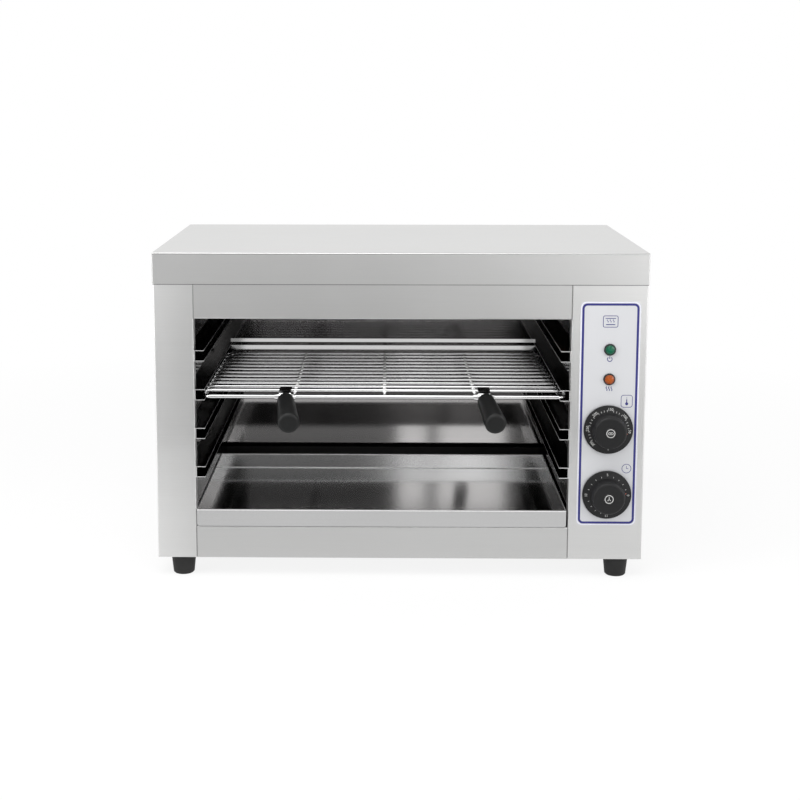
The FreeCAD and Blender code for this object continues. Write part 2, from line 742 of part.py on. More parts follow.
def make_heating():
    """Two hairpin elements under the ceiling, their end pins, and the strips that hang them."""
    near = f"{LEFT} + element_end_gap + {ELEMENT_STEP}/2"
    run = f"{RIGHT} + element_out - ({near})"
    pins = []
    for pair, name in enumerate(("front", "rear")):
        first, second = ELEMENT_LEGS[2*pair:2*pair + 2]
        legs = [rod(f"{name}_element_leg_{k}", (near, y, ELEMENT_Z), "+x", "element_diameter/2", run)
                for k, y in enumerate((first, second))]
        bend = doc.addObject("Part::Torus", f"{name}_element_bend")
        bend.setExpression("Radius1", bound(f"{ELEMENT_STEP}/2"))
        bend.setExpression("Radius2", bound("element_diameter/2"))
        bend.Angle3 = 180
        put(bend, (near, f"({first} + {second})/2", ELEMENT_Z))
        bend.Placement.Rotation = FreeCAD.Rotation(FreeCAD.Vector(0, 0, 1), 90)
        node(fused(f"{name}_heating_element", legs + [bend]), f"{name}_heating_element")
        for k, y in enumerate((first, second)):
            pins.append(rod(f"{name}_pin_{k}", (f"{RIGHT} + element_out", y, ELEMENT_Z), "+x",
                            "element_pin/2", "element_pin_length"))
    group("element_terminal_pins", pins)

    hangers = []
    first = ELEMENT_LEGS[0]
    for side, place in (("left", f"{LEFT} + hanger_inset"), ("right", f"{RIGHT} - hanger_inset")):
        strip = block(f"{side}_hanger_strip",
                      (f"{place} - outer_gauge/2", f"{first} - hanger_margin", f"{CEILING} - hanger_drop"),
                      (f"{place} + outer_gauge/2", f"{ELEMENT_LEGS[-1]} + hanger_margin", CEILING))
        holes = [rod(f"{side}_hanger_hole_{k}", (f"{place} - outer_gauge/2 - overrun", leg, ELEMENT_Z),
                     "+x", "element_diameter/2 + clip_gap", "outer_gauge + 2*overrun")
                 for k, leg in enumerate(ELEMENT_LEGS)]
        hangers.append(cut(f"{side}_element_hanger", strip, holes))
    group("element_hangers", hangers)


# Wire rack
def make_rack():
    """A welded grid: a rod frame with round corners, cross wires and long wires on top."""
    half = f"{RACK_WIDTH}/2"
    front = f"{FRONT} + rack_setback"
    back = f"{front} + {RACK_LENGTH}"
    near = f"{front} + rack_corner"
    far = f"{back} - rack_corner"
    frame = "frame_rod/2"
    pieces = []
    for name, y in (("front", front), ("rear", back)):
        pieces.append(rod(f"rack_{name}_rod", (f"{RACK_X} - {half} + rack_corner", y, RACK_Z), "+x",
                          frame, f"{RACK_WIDTH} - 2*rack_corner"))
    for name, way in (("left", "-"), ("right", "+")):
        pieces.append(rod(f"rack_{name}_rod", (f"{RACK_X} {way} {half}", near, RACK_Z), "+y",
                          frame, f"{RACK_LENGTH} - 2*rack_corner"))
    for name, way, y, angle in (("front_left", "-", near, 180), ("front_right", "+", near, 270),
                                ("rear_right", "+", far, 0), ("rear_left", "-", far, 90)):
        bend = doc.addObject("Part::Torus", f"rack_{name}_bend")
        bend.setExpression("Radius1", bound("rack_corner"))
        bend.setExpression("Radius2", bound(frame))
        bend.Angle3 = 90
        back_step = "+" if way == "-" else "-"
        put(bend, (f"{RACK_X} {way} {half} {back_step} rack_corner", y, RACK_Z))
        bend.Placement.Rotation = FreeCAD.Rotation(FreeCAD.Vector(0, 0, 1), angle)
        pieces.append(bend)
    step = f"({RACK_LENGTH} - wire_first - wire_last)/{LONG_WIRES - 1}"
    for k in range(LONG_WIRES):
        place = (f"{RACK_X} - {half} - frame_rod/4", f"{front} + wire_first + {step}*{k}", LONG_WIRE_Z)
        pieces.append(rod(f"long_wire_{k + 1}", place, "+x", "rack_wire/2",
                          f"{RACK_WIDTH} + frame_rod/2"))
    for k in range(CROSS_WIRES):
        x = f"{RACK_X} - {half} + {CROSS_WIRE_STEP}*{k + 1}"
        pieces.append(rod(f"cross_wire_{k + 1}", (x, front, CROSS_WIRE_Z), "+y", "rack_wire/2",
                          RACK_LENGTH))
    node(fused("wire_rack", pieces), "wire_rack")


def make_handles():
    """Two chrome clips on the rack's front rod, each with its stud and a black grip on it."""
    turn = FreeCAD.Rotation(FreeCAD.Vector(0, 0, 1), sheet.get("handle_lean"))
    droop = FreeCAD.Rotation(FreeCAD.Vector(1, 0, 0), 90 + sheet.get("handle_droop"))
    aim = turn.multiply(droop)
    for side, way in (("left", "-"), ("right", "+")):
        place = (f"{RACK_X} {way} ({CROSS_WIRE_STEP} + handle_step)", f"{FRONT} + rack_setback", RACK_Z)
        make_clip(side, way, place, aim)

        grip = new_body(f"{side}_grip", place)
        grip.Placement.Rotation = aim
        bore = "(stud_diameter/2 + clip_gap)"
        shape = turned(grip, [
            (bore, "grip_start"),
            ("grip_root/2", "grip_start"),
            ("grip_tip/2", GRIP_END),
            ("0", GRIP_END),
            ("0", "grip_start + stud_length + clip_gap"),
            (bore, "grip_start + stud_length + clip_gap"),
        ])
        rounded(grip, shape, "grip_round",
                lambda ring, space: ring.ZLength < sheet.get("grip_round")
                and ring.XLength > sheet.get("stud_diameter") + sheet.get("grip_round"))


def make_clip(side, way, place, aim):
    """A sleeve round the front rod with tapered ends, a plate hooked over the first long wire
    and the stud of the grip. A notch in the sleeve clears the cross wire beside it."""
    inner = "(frame_rod/2 + clip_gap)"
    half = "(clip_width/2 + sleeve_taper)"
    x, y, z = place
    middle = rod(f"{side}_sleeve", (f"{x} - clip_width/2", y, z), "+x", "sleeve_radius", "clip_width")
    ends = [rod(f"{side}_sleeve_{name}", (f"{x} {step} clip_width/2", y, z), f"{step}x",
                "sleeve_radius", "sleeve_taper", "sleeve_end_radius")
            for name, step in (("outer", "-"), ("inner", "+"))]
    plate_low = f"{z} + (frame_rod + rack_wire)/2 - weld_sink + rack_wire/2 + clip_gap"
    hook_y = f"{y} + wire_first + rack_wire/2 + clip_gap"
    plate = block(f"{side}_clip_plate", (f"{x} - clip_width/2", f"{y} - clip_gauge", plate_low),
                  (f"{x} + clip_width/2", f"{hook_y} + clip_gauge", f"{plate_low} + clip_gauge"))
    hook = block(f"{side}_clip_hook",
                 (f"{x} - clip_width/2", hook_y, f"{plate_low} - rack_wire/2"),
                 (f"{x} + clip_width/2", f"{hook_y} + clip_gauge", f"{plate_low} + clip_gauge"))
    neck = block(f"{side}_clip_neck", (f"{x} - clip_width/2", f"{y} - clip_gauge", z),
                 (f"{x} + clip_width/2", f"{y} + clip_gauge", f"{plate_low} + clip_gauge"))
    stud = rod(f"{side}_stud", place, "+z", "stud_diameter/2", "grip_start + stud_length")
    stud.Placement.Rotation = aim
    whole = fused(f"{side}_clip_blank", [middle, *ends, plate, hook, neck, stud])
    bore = rod(f"{side}_clip_bore", (f"{x} - {half} - overrun", y, z), "+x", inner,
               f"2*({half} + overrun)")
    window = block(f"{side}_clip_window",
                   (f"{x} - clip_window/2", f"{y} - sleeve_radius - overrun", f"{z} + stud_diameter/2"),
                   (f"{x} + clip_window/2", f"{y} - clip_gauge", f"{plate_low} - clip_gauge"))
    notch = rod(f"{side}_clip_notch", (f"{RACK_X} {way} {CROSS_WIRE_STEP}", y, CROSS_WIRE_Z), "+y",
                "rack_wire/2 + clip_gap", "sleeve_radius + overrun")
    node(cut(f"{side}_handle_clip", whole, [bore, window, notch]), f"{side}_handle_clip")


# Crumb tray
def make_tray():
    """An open tray with a hemmed front lip."""
    width = f"({OPENING} - tray_left_gap - tray_right_gap)"
    depth = f"({CAVITY_DEPTH} - tray_back_gap)"
    tray = new_body("crumb_tray", (f"{LEFT} + tray_left_gap", FRONT, f"{SILL} + tray_lift"))
    outline = new_sketch(tray, "outline", "XY_Plane")
    rectangle(outline, "0", "0", width, depth)
    shell = pad(tray, outline, "tray_height")
    rounded(tray, shell, "tray_round",
            lambda edge, space: same(edge.ZMax, space.ZMin) and not same(edge.YMax, space.YMin))
    hollow = new_sketch(tray, "hollow", "XY_Plane", "tray_gauge")
    rectangle(hollow, "tray_gauge", "tray_hem", f"{width} - tray_gauge", f"{depth} - tray_gauge")
    pocket(tray, hollow, "tray_height", reverse=True)


# Feet
FOOT_PLACES = [
    (f"{sign}(overall_width/2 - foot_inset)", y)
    for y in (f"{FRONT} + foot_front_inset", f"{BACK} - foot_back_inset")
    for sign in ("-", "")
]


def make_feet():
    """Four tapered feet, each with a screw up its middle and a nut on the base plate."""
    names = ("front_left_foot", "front_right_foot", "rear_left_foot", "rear_right_foot")
    bore = "foot_screw_diameter/2 + screw_gap"
    screws = []
    nuts = []
    for name, (x, y) in zip(names, FOOT_PLACES):
        foot = new_body(name, (x, y, "0"))
        turned(foot, [
            ("foot_recess/2", "0"),
            ("foot_bottom/2 - foot_edge", "0"),
            ("foot_bottom/2", "foot_edge"),
            ("foot_top/2", "foot_height - foot_edge"),
            ("foot_top/2 - foot_edge", "foot_height"),
            (bore, "foot_height"),
            (bore, "foot_recess_depth"),
            ("foot_recess/2", "foot_recess_depth"),
        ])
        screws.append(screw(f"{name}_screw", (x, y, "foot_recess_depth"), "-z", FOOT_SCREW))
        nut = doc.addObject("Part::Prism", f"{name}_nut_blank")
        nut.Polygon = 6
        nut.setExpression("Circumradius", bound("foot_nut_radius"))
        nut.setExpression("Height", bound("foot_nut"))
        put(nut, (x, y, FLOOR))
        hole = rod(f"{name}_nut_hole", (x, y, f"{FLOOR} - overrun"), "+z",
                   "foot_screw_diameter/2 + screw_gap", "foot_nut + 2*overrun")
        nuts.append(cut(f"{name}_nut", nut, [hole]))
    group("foot_screws", screws)
    group("foot_nuts", nuts)


# Screws: diameter, head diameter, head height and length
PANEL_SCREW = ("screw_diameter", "screw_head", "screw_head_height", "screw_length")
TERMINAL_SCREW = ("screw_diameter", "screw_head", "screw_head_height",
                  "(terminal_height + outer_gauge)")
FOOT_SCREW = ("foot_screw_diameter", "foot_screw_head", "foot_screw_head_height",
              "(foot_height - foot_recess_depth + outer_gauge + foot_nut)")


def screw(name, at, direction, sizes):
    """A slotted screw whose head stands along the direction from a place on the surface."""
    diameter, head, head_height, length = sizes
    back = {"+": "-", "-": "+"}[direction[0]] + direction[1]
    cap = rod(f"{name}_head", at, direction, f"{head}/2", head_height, f"{head}*0.4")
    shank = rod(f"{name}_shank", at, back, f"{diameter}/2", length)
    blank = fused(f"{name}_blank", [cap, shank])
    x, y, z = moved(at, direction, f"{head_height} - screw_slot_depth")
    far = moved((x, y, z), direction, "screw_slot_depth + overrun")
    axis = "xyz".index(direction[1])
    across = (axis + 1) % 3
    low = [x, y, z]
    high = list(far)
    if direction[0] == "-":
        low[axis], high[axis] = high[axis], low[axis]
    for k in range(3):
        if k == axis:
            continue
        half = "screw_slot/2" if k == across else f"({head}/2 + overrun)"
        centre = low[k]
        low[k] = f"{centre} - {half}"
        high[k] = f"{centre} + {half}"
    groove = block(f"{name}_slot", low, high)
    return cut(name, blank, [groove])


def make_casing_screws():
    """The screws of the lid's rear skirt and of the rear panel's two edges."""
    places = [(f"overall_width*{share}", f"{FRONT} + casing_depth", f"{SKIRT} + lid_skirt/2")
              for share in SCREW_SPREAD_SHARES]
    places += [(column, BACK, f"{FLOOR} + ({SKIRT} - {FLOOR})*{share}")
               for column in (f"-{SIDE} + rear_flange/2", f"{SIDE} - rear_flange/2")
               for share in REAR_SCREW_SHARES]
    group("casing_screws", [screw(f"casing_screw_{k}", place, "+y", PANEL_SCREW)
                            for k, place in enumerate(places)])


# Controls
def make_label():
    """The thin printed plate round the lamps and knobs."""
    body = new_body("control_label", (CONTROL_X, FACE, "foot_height + label_rise"))
    sketch = new_sketch(body, "outline", "XZ_Plane")
    rectangle(sketch, "-label_width/2", "0", "label_width/2", LABEL_HEIGHT)
    for name in ("power_lamp", "heat_lamp"):
        circle(sketch, "0", f"{RISES[name]} - label_rise", "lamp_barrel/2 + screw_gap")
    for name in ("thermostat", "timer"):
        circle(sketch, "0", f"{RISES[name]} - label_rise", "label_cutout/2")
    plate = pad(body, sketch, "label_gauge")
    rounded(body, plate, "label_corner",
            lambda edge, space: same(edge.XLength, 0) and same(edge.ZLength, 0))


def make_lamps():
    """Two pilot lamps, each a rimmed barrel through the panel with a domed lens in its mouth."""
    for name in ("power_lamp", "heat_lamp"):
        place = (CONTROL_X, f"{FACE} - label_gauge", f"foot_height + {RISES[name]}")
        barrel = new_body(f"{name}_barrel", place, "-y")
        inner = "(lamp_lens/2 + clip_gap)"
        turned(barrel, [
            ("0", "-lamp_length"),
            ("lamp_barrel/2", "-lamp_length"),
            ("lamp_barrel/2", "0"),
            ("lamp_rim/2", "0"),
            ("lamp_rim/2", "lamp_proud/2"),
            ("lamp_rim/2 - lamp_proud/4", "lamp_proud"),
            (inner, "lamp_proud"),
            (inner, "lamp_proud/4"),
            (f"{inner} - lamp_proud/2", "lamp_proud/4"),
            (f"{inner} - lamp_proud/2", "-lamp_bore_depth"),
            ("0", "-lamp_bore_depth"),
        ])
        lens = new_body(f"{name}_lens", place, "-y")
        turned(lens, [
            ("0", "lamp_proud/4"),
            ("lamp_lens/2", "lamp_proud/4"),
            ("lamp_lens/2", "lamp_proud"),
            ("lamp_lens*0.3", "lamp_proud*1.5"),
            ("0", "lamp_proud*1.6"),
        ])


KNOB_LIFT = "(knob_gap + label_gauge)"


def make_knob(name):
    """A hollow knob with a wide printed skirt, a domed grip, a centre cap and its shaft."""
    place = (CONTROL_X, KNOB_Y, f"foot_height + {RISES[name]}")
    knob = new_body(f"{name}_knob", place, "-y")
    shape = turned(knob, [
        ("0", "shaft_socket"),
        ("shaft_diameter/2", "shaft_socket"),
        ("shaft_diameter/2", "0"),
        ("knob_hub/2", "0"),
        ("knob_hub/2", "knob_height - knob_wall - knob_round"),
        ("knob_dome/2 - 2*knob_wall", "knob_height - knob_wall - knob_round"),
        ("knob_dome/2 - knob_wall", "knob_skirt_height - knob_wall"),
        ("knob_skirt/2 - knob_wall", "0"),
        ("knob_skirt/2", "0"),
        ("knob_skirt/2", "knob_skirt_edge"),
        ("knob_dome/2", "knob_skirt_height"),
        ("knob_dome_top/2", "knob_height"),
        ("cap_diameter/2 + clip_gap", "knob_height"),
        ("cap_diameter/2 + clip_gap", "knob_height - cap_depth"),
        ("0", "knob_height - cap_depth"),
    ])
    rim = 0.5*(sheet.get("knob_dome_top") + sheet.get("cap_diameter"))
    rounded(knob, shape, "knob_round",
            lambda edge, space: same(edge.ZMin, space.ZMax) and edge.XLength > rim)

    cap = new_body(f"{name}_cap", place, "-y")
    turned(cap, [
        ("0", "knob_height - cap_depth"),
        ("cap_diameter/2", "knob_height - cap_depth"),
        ("cap_diameter/2", "knob_height"),
        ("cap_diameter/2 - cap_proud", "knob_height + cap_proud"),
        ("0", "knob_height + cap_proud"),
    ])

    shaft = new_body(f"{name}_shaft", place, "-y")
    turned(shaft, [
        ("0", f"-{KNOB_LIFT} - outer_gauge - shaft_engage"),
        ("shaft_diameter/2", f"-{KNOB_LIFT} - outer_gauge - shaft_engage"),
        ("shaft_diameter/2", "shaft_socket"),
        ("0", "shaft_socket"),
    ])


def make_controls():
    """The thermostat and the timer behind the panel, with their screws, knobs and shafts."""
    screws = []
    for name in ("thermostat", "timer"):
        make_knob(name)
        height = f"foot_height + {RISES[name]}"
        behind = f"{FACE} + outer_gauge"
        can = {"thermostat": "diaphragm", "timer": "gear_case"}[name]
        case = block(f"{name}_case",
                     (f"{CONTROL_X} - {name}_width/2", behind, f"{height} - {name}_height/2"),
                     (f"{CONTROL_X} + {name}_width/2", f"{behind} + {name}_depth",
                      f"{height} + {name}_height/2"))
        drum = rod(f"{name}_drum", (CONTROL_X, f"{behind} + {name}_depth", height), "+y",
                   f"{can}_diameter/2", f"{can}_depth")
        tools = [rod(f"{name}_bush", (CONTROL_X, f"{behind} - overrun", height), "+y",
                     "shaft_diameter/2 + bush_gap", "shaft_engage + 2*overrun")]
        for side, way in (("left", "-"), ("right", "+")):
            tools.append(rod(f"{name}_screw_hole_{side}",
                             (f"{CONTROL_X} {way} control_screw_spacing/2", f"{behind} - overrun", height),
                             "+y", "screw_diameter/2 + screw_gap", "screw_length + overrun"))
            screws.append(screw(f"{name}_screw_{side}", (f"{CONTROL_X} {way} control_screw_spacing/2",
                                                         FACE, height), "-y", PANEL_SCREW))
        node(cut(f"{name}_body", fused(f"{name}_blank", [case, drum]), tools), f"{name}_body")
    group("control_screws", screws)


def mark(name, at):
    """A bound point on a tube's route."""
    return put(doc.addObject("Part::Vertex", name), at)


def tube(name, marks, radius, bend):
    """A round tube of straight runs joined by arcs, along marks already placed."""
    doc.recompute()
    points = [item.Placement.Base for item in marks]
    edges = []
    start = points[0]
    for before, corner, after in zip(points, points[1:], points[2:]):
        arrive = (corner - before).normalize()
        leave = (after - corner).normalize()
        turn = arrive.getAngle(leave)
        setback = bend*math.tan(turn/2)
        entry = corner - arrive*setback
        leaving = corner + leave*setback
        inward = (leave - arrive).normalize()
        middle = corner + inward*(bend/math.cos(turn/2) - bend)
        edges.append(Part.LineSegment(start, entry).toShape())
        edges.append(Part.Arc(entry, middle, leaving).toShape())
        start = leaving
    edges.append(Part.LineSegment(start, points[-1]).toShape())
    spine = Part.Wire(edges)
    away = (points[1] - points[0]).normalize()
    ring = Part.Wire([Part.Circle(points[0], away, radius).toShape()])
    solid = doc.addObject("Part::Feature", name)
    solid.Shape = spine.makePipeShell([ring], True, False)
    return solid


def make_bulb():
    """The thermostat's sensing bulb under the ceiling and the thin tube that leads to it."""
    node(rod("thermostat_bulb", (f"{RIGHT} - bulb_wall_gap", BULB_Y, BULB_Z), "-x",
             "bulb_diameter/2", "bulb_length"), "thermostat_bulb")
    drum_back = f"{FACE} + outer_gauge + thermostat_depth + diaphragm_depth"
    height = f"foot_height + {RISES['thermostat']}"
    route = [
        mark("route_bulb", (f"{RIGHT} - bulb_wall_gap", BULB_Y, BULB_Z)),
        mark("route_inside", (f"{RIGHT} + capillary_run", BULB_Y, BULB_Z)),
        mark("route_forward", (f"{RIGHT} + capillary_run", f"{FACE} + capillary_back", BULB_Z)),
        mark("route_down", (f"{RIGHT} + capillary_run", f"{FACE} + capillary_back", height)),
        mark("route_thermostat", (f"{RIGHT} + capillary_run", drum_back, height)),
    ]
    node(tube("thermostat_capillary", route, sheet.get("capillary_diameter")/2,
              sheet.get("capillary_bend")), "thermostat_capillary")
    clips = []
    for k, share in enumerate((0.2, 0.8)):
        place = f"{RIGHT} - bulb_wall_gap - bulb_length*{share}"
        low = (f"{place} - bulb_diameter/2", f"{BULB_Y} - bulb_diameter", f"{BULB_Z} - bulb_diameter")
        high = (f"{place} + bulb_diameter/2", f"{BULB_Y} + bulb_diameter", CEILING)
        strap = block(f"bulb_strap_{k}", low, high)
        hole = rod(f"bulb_strap_hole_{k}", (f"{place} - bulb_diameter/2 - overrun", BULB_Y, BULB_Z),
                   "+x", "bulb_diameter/2 + clip_gap", "bulb_diameter + 2*overrun")
        clips.append(cut(f"bulb_clip_{k}", strap, [hole]))
    group("bulb_clips", clips)


# Supply
TERMINAL_Y = f"({REAR} - terminal_behind)"
TERMINAL_SCREWS = [
    ("left", f"{CONTROL_X} - terminal_width/3"),
    ("right", f"{CONTROL_X} + terminal_width/3"),
]


def hexagon(name, at, direction, radius, length):
    """A six-sided prism."""
    solid = doc.addObject("Part::Prism", name)
    solid.Polygon = 6
    solid.setExpression("Circumradius", bound(radius))
    solid.setExpression("Height", bound(length))
    return put(solid, at, direction)


def make_supply():
    """The cable gland and its nut, and the terminal block with its screws."""
    height = "foot_height + gland_rise"
    outside = (CONTROL_X, BACK, height)
    inside = (CONTROL_X, f"{REAR} - gland_in", height)
    flange = hexagon("gland_flange", outside, "+y", "gland_flats", "gland_flange")
    thread = rod("gland_thread", inside, "+y", "gland_thread/2", "gland_in + outer_gauge")
    cap = rod("gland_cap", moved(outside, "+y", "gland_flange"), "+y", "gland_dome/2",
              "(gland_out - gland_flange)/2")
    nose = rod("gland_nose", moved(outside, "+y", "(gland_out + gland_flange)/2"), "+y",
               "gland_dome/2", "(gland_out - gland_flange)/2", "(gland_dome + gland_bore)/4")
    bore = rod("gland_passage", moved(inside, "+y", "-overrun"), "+y", "gland_bore/2",
               "gland_in + outer_gauge + gland_out + 2*overrun")
    body = fused("gland_blank", [flange, thread, cap, nose])
    node(cut("cable_gland", body, [bore]), "cable_gland")

    nut = hexagon("gland_nut_blank", (CONTROL_X, REAR, height), "-y", "gland_flats", "gland_nut")
    hole = rod("gland_nut_hole", (CONTROL_X, f"{REAR} + overrun", height), "-y",
               "gland_thread/2 + screw_gap", "gland_nut + 2*overrun")
    node(cut("gland_nut", nut, [hole]), "gland_nut")

    low = (f"{CONTROL_X} - terminal_width/2", f"{TERMINAL_Y} - terminal_depth/2", FLOOR)
    high = (f"{CONTROL_X} + terminal_width/2", f"{TERMINAL_Y} + terminal_depth/2",
            f"{FLOOR} + terminal_height")
    tools = []
    for k in range(TERMINAL_WAYS):
        way = (f"{CONTROL_X} + terminal_width*{k + 0.5}/{TERMINAL_WAYS} - terminal_width/2",
               f"{TERMINAL_Y} - terminal_depth/2 - overrun", f"{FLOOR} + terminal_height/2")
        tools.append(rod(f"terminal_way_{k}", way, "+y", "terminal_bore/2",
                         "terminal_depth + 2*overrun"))
    screws = []
    for side, x in TERMINAL_SCREWS:
        tools.append(rod(f"terminal_{side}_hole", (x, TERMINAL_Y, f"{FLOOR} - overrun"), "+z",
                         "screw_diameter/2 + screw_gap", "terminal_height + 2*overrun"))
        screws.append(screw(f"terminal_{side}_screw", (x, TERMINAL_Y, f"{FLOOR} + terminal_height"),
                            "+z", TERMINAL_SCREW))
    node(cut("terminal_block", block("terminal_blank", low, high), tools), "terminal_block")
    group("terminal_screws", screws)


make_lid()
make_side_panels()
make_front_rails()
make_rear_panel()
make_base_plate()
make_liner()
make_guides()
make_heating()
make_rack()
make_handles()
make_tray()
make_feet()
make_casing_screws()
make_label()
make_lamps()
make_controls()
make_bulb()
make_supply()
doc.recompute()

# Every object must be sound before anything is written
faults = [obj.Label for obj in doc.Objects if {"Invalid", "Error"} & set(obj.State)]
for obj in NODES:
    if obj.Shape.isNull() or not obj.Shape.isValid():
        faults.append(obj.Label)
if faults:
    raise RuntimeError("unsound: " + ", ".join(faults))

os.makedirs("parts", exist_ok=True)
for obj in NODES:
    obj.Shape.exportStep(f"parts/{obj.Label}.step")
print(len(NODES), "nodes written")
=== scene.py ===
# %% [markdown]
# # A cheese melter for a counter top
# The solids come ready made as the fixed frame, one object for each sheet, knob or set of screws.
# This lesson gives them their finishes, prints the control face, adds the small things that a
# solid leaves out, and sets up a plain studio. Loading comes first, because every later step
# asks the frame where its pieces are.

# %% Load the frame
import json
import math

import bmesh
import bpy
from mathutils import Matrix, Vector


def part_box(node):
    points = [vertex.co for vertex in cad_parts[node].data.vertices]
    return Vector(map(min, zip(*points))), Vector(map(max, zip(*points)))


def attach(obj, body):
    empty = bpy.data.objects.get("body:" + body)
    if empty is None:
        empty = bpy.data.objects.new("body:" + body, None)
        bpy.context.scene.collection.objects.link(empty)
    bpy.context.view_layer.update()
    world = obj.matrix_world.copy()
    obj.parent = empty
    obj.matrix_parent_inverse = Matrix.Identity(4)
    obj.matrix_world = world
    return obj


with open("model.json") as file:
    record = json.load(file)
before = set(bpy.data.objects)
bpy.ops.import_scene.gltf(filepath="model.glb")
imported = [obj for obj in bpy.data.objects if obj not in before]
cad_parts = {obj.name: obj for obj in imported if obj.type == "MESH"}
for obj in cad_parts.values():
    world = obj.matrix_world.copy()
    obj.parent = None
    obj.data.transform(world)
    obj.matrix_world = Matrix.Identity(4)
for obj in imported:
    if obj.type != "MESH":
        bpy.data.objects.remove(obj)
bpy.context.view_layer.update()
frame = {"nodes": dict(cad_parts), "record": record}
MM = 0.001
WHITE = (1.0, 1.0, 1.0, 1.0)

# %% [markdown]
# ## The camera
# The photograph was taken from in front, a little above the lid. A camera can be placed by eye,
# but a least-squares fit of the casing's corners gives its place, turn and lens together, and
# those numbers are used here. A small shift stands for the crop of the picture.

# %% Camera
CAMERA_PLACE = (-0.0164, -1.9503, 0.6194)
CAMERA_PITCH = -8.58
CAMERA_YAW = 0.89
CAMERA_LENS = 66.66
CAMERA_SHIFT = (0.045, -0.12)

camera = bpy.data.objects.new("camera", bpy.data.cameras.new("camera"))
bpy.context.scene.collection.objects.link(camera)
camera.location = CAMERA_PLACE
camera.rotation_euler = (math.radians(90 + CAMERA_PITCH), 0, math.radians(CAMERA_YAW))
camera.data.lens = CAMERA_LENS
camera.data.shift_x, camera.data.shift_y = CAMERA_SHIFT
bpy.context.scene.camera = camera
bpy.context.scene.view_settings.view_transform = "Standard"
print("camera at", CAMERA_PLACE)

# %% [markdown]
# ## Shader sums
# A finish is mostly a few patterns added and scaled. Nodes could be placed one by one, but a sum
# such as `1 - mask*0.2` reads better, so one small class stands for a node's output and adds the
# Math nodes itself. Any other node comes from its one `node` method: the settings first, then
# the inputs.

# %% The class for shader sums
class Wire:
    """One output of a node. Sums of wires add Math nodes to the same tree."""

    def __init__(self, tree, socket=None):
        self.tree = tree
        self.socket = socket

    def node(self, kind, settings=None, values=None, output=0):
        """Add a node of this kind, set it, feed its inputs and give one of its outputs."""
        made = self.tree.nodes.new(kind)
        for name, value in (settings or {}).items():
            setattr(made, name, value)
        for name, value in (values or {}).items():
            if isinstance(value, Wire):
                self.tree.links.new(value.socket, made.inputs[name])
            else:
                made.inputs[name].default_value = value
        return Wire(self.tree, made.outputs[output] if len(made.outputs) else None)

    def sum(self, operation, first, second):
        return self.node("ShaderNodeMath", {"operation": operation}, {0: first, 1: second})

    def __add__(self, other):
        return self.sum("ADD", self, other)

    def __radd__(self, other):
        return self.sum("ADD", other, self)

    def __sub__(self, other):
        return self.sum("SUBTRACT", self, other)

    def __rsub__(self, other):
        return self.sum("SUBTRACT", other, self)

    def __mul__(self, other):
        return self.sum("MULTIPLY", self, other)

    def __rmul__(self, other):
        return self.sum("MULTIPLY", other, self)

    def __truediv__(self, other):
        return self.sum("DIVIDE", self, other)

    def __gt__(self, other):
        return self.sum("GREATER_THAN", self, other)

    def __lt__(self, other):
        return self.sum("LESS_THAN", self, other)

    def above(self, other):
        return self.sum("MAXIMUM", self, other)

    def below(self, other):
        return self.sum("MINIMUM", self, other)


print("shader sums ready")

# %% [markdown]
# ## A start for every finish
# Each finish starts from one Principled shader. Constants such as the coat or the metal share are
# set on its sockets, and only what changes over the surface is linked. The patterns read the
# object's own coordinates, which are metres in the frame, so a scale of 1000 makes millimetres.

# %% Helpers for finishes
def new_finish(name):
    """An empty material with its tree, ready for nodes."""
    material = bpy.data.materials.new(name)
    material.use_nodes = True
    material.node_tree.nodes.clear()
    return material, Wire(material.node_tree)


def pattern(tree, scale, detail=2.0, stretch=(1, 1, 1), roughness=0.5):
    """Noise from 0 to 1 in the object's coordinates, stretched along one direction for a grain."""
    place = tree.node("ShaderNodeTexCoord", output="Object")
    place = tree.node("ShaderNodeMapping", None, {"Vector": place, "Scale": stretch})
    return tree.node("ShaderNodeTexNoise", None, {"Vector": place, "Scale": scale, "Detail": detail,
                                                  "Roughness": roughness})


def scaled(tree, colour, amount):
    """A colour made lighter or darker by a wire."""
    return tree.node("ShaderNodeVectorMath", {"operation": "SCALE"}, {0: colour[:3], "Scale": amount})


def mixed(tree, factor, first, second):
    """A colour between two others."""
    return tree.node("ShaderNodeMix", {"data_type": "RGBA"}, {0: factor, 6: first, 7: second}, output=2)


def bumped(tree, height, distance, strength=1.0):
    """A normal tilted by a height pattern, with the height of its relief in metres."""
    return tree.node("ShaderNodeBump", None, {"Height": height, "Distance": distance,
                                              "Strength": strength})


def close_finish(material, tree, values):
    """Feed the one Principled shader and join it to the output."""
    shader = tree.node("ShaderNodeBsdfPrincipled", None, values)
    tree.node("ShaderNodeOutputMaterial", None, {"Surface": shader})
    return material


FINISHES = {}
print("finish helpers ready")

# %% [markdown]
# ## Masks by place
# One sheet can be bright at a fold and dull in a corner. Cutting its mesh for a second material
# would change the solid, so a mask reads the surface's own coordinates or the way that it faces.
# Each mask is 1 in its place and 0 elsewhere, and the finishes below mix two tones with it.

# %% Helpers for masks
def coordinate(tree, axis):
    """One coordinate of the surface in metres."""
    place = tree.node("ShaderNodeTexCoord", output="Object")
    return tree.node("ShaderNodeSeparateXYZ", None, {0: place}, output=axis)


def facing(tree, axis):
    """How far the surface faces along one axis, from -1 to 1."""
    slope = tree.node("ShaderNodeTexCoord", output="Normal")
    return tree.node("ShaderNodeSeparateXYZ", None, {0: slope}, output=axis)


def within(tree, low, high):
    """1 inside a box given by two corners, else 0."""
    mask = None
    for axis in range(3):
        place = coordinate(tree, axis)
        share = (place > low[axis])*(place < high[axis])
        mask = share if mask is None else mask*share
    return mask


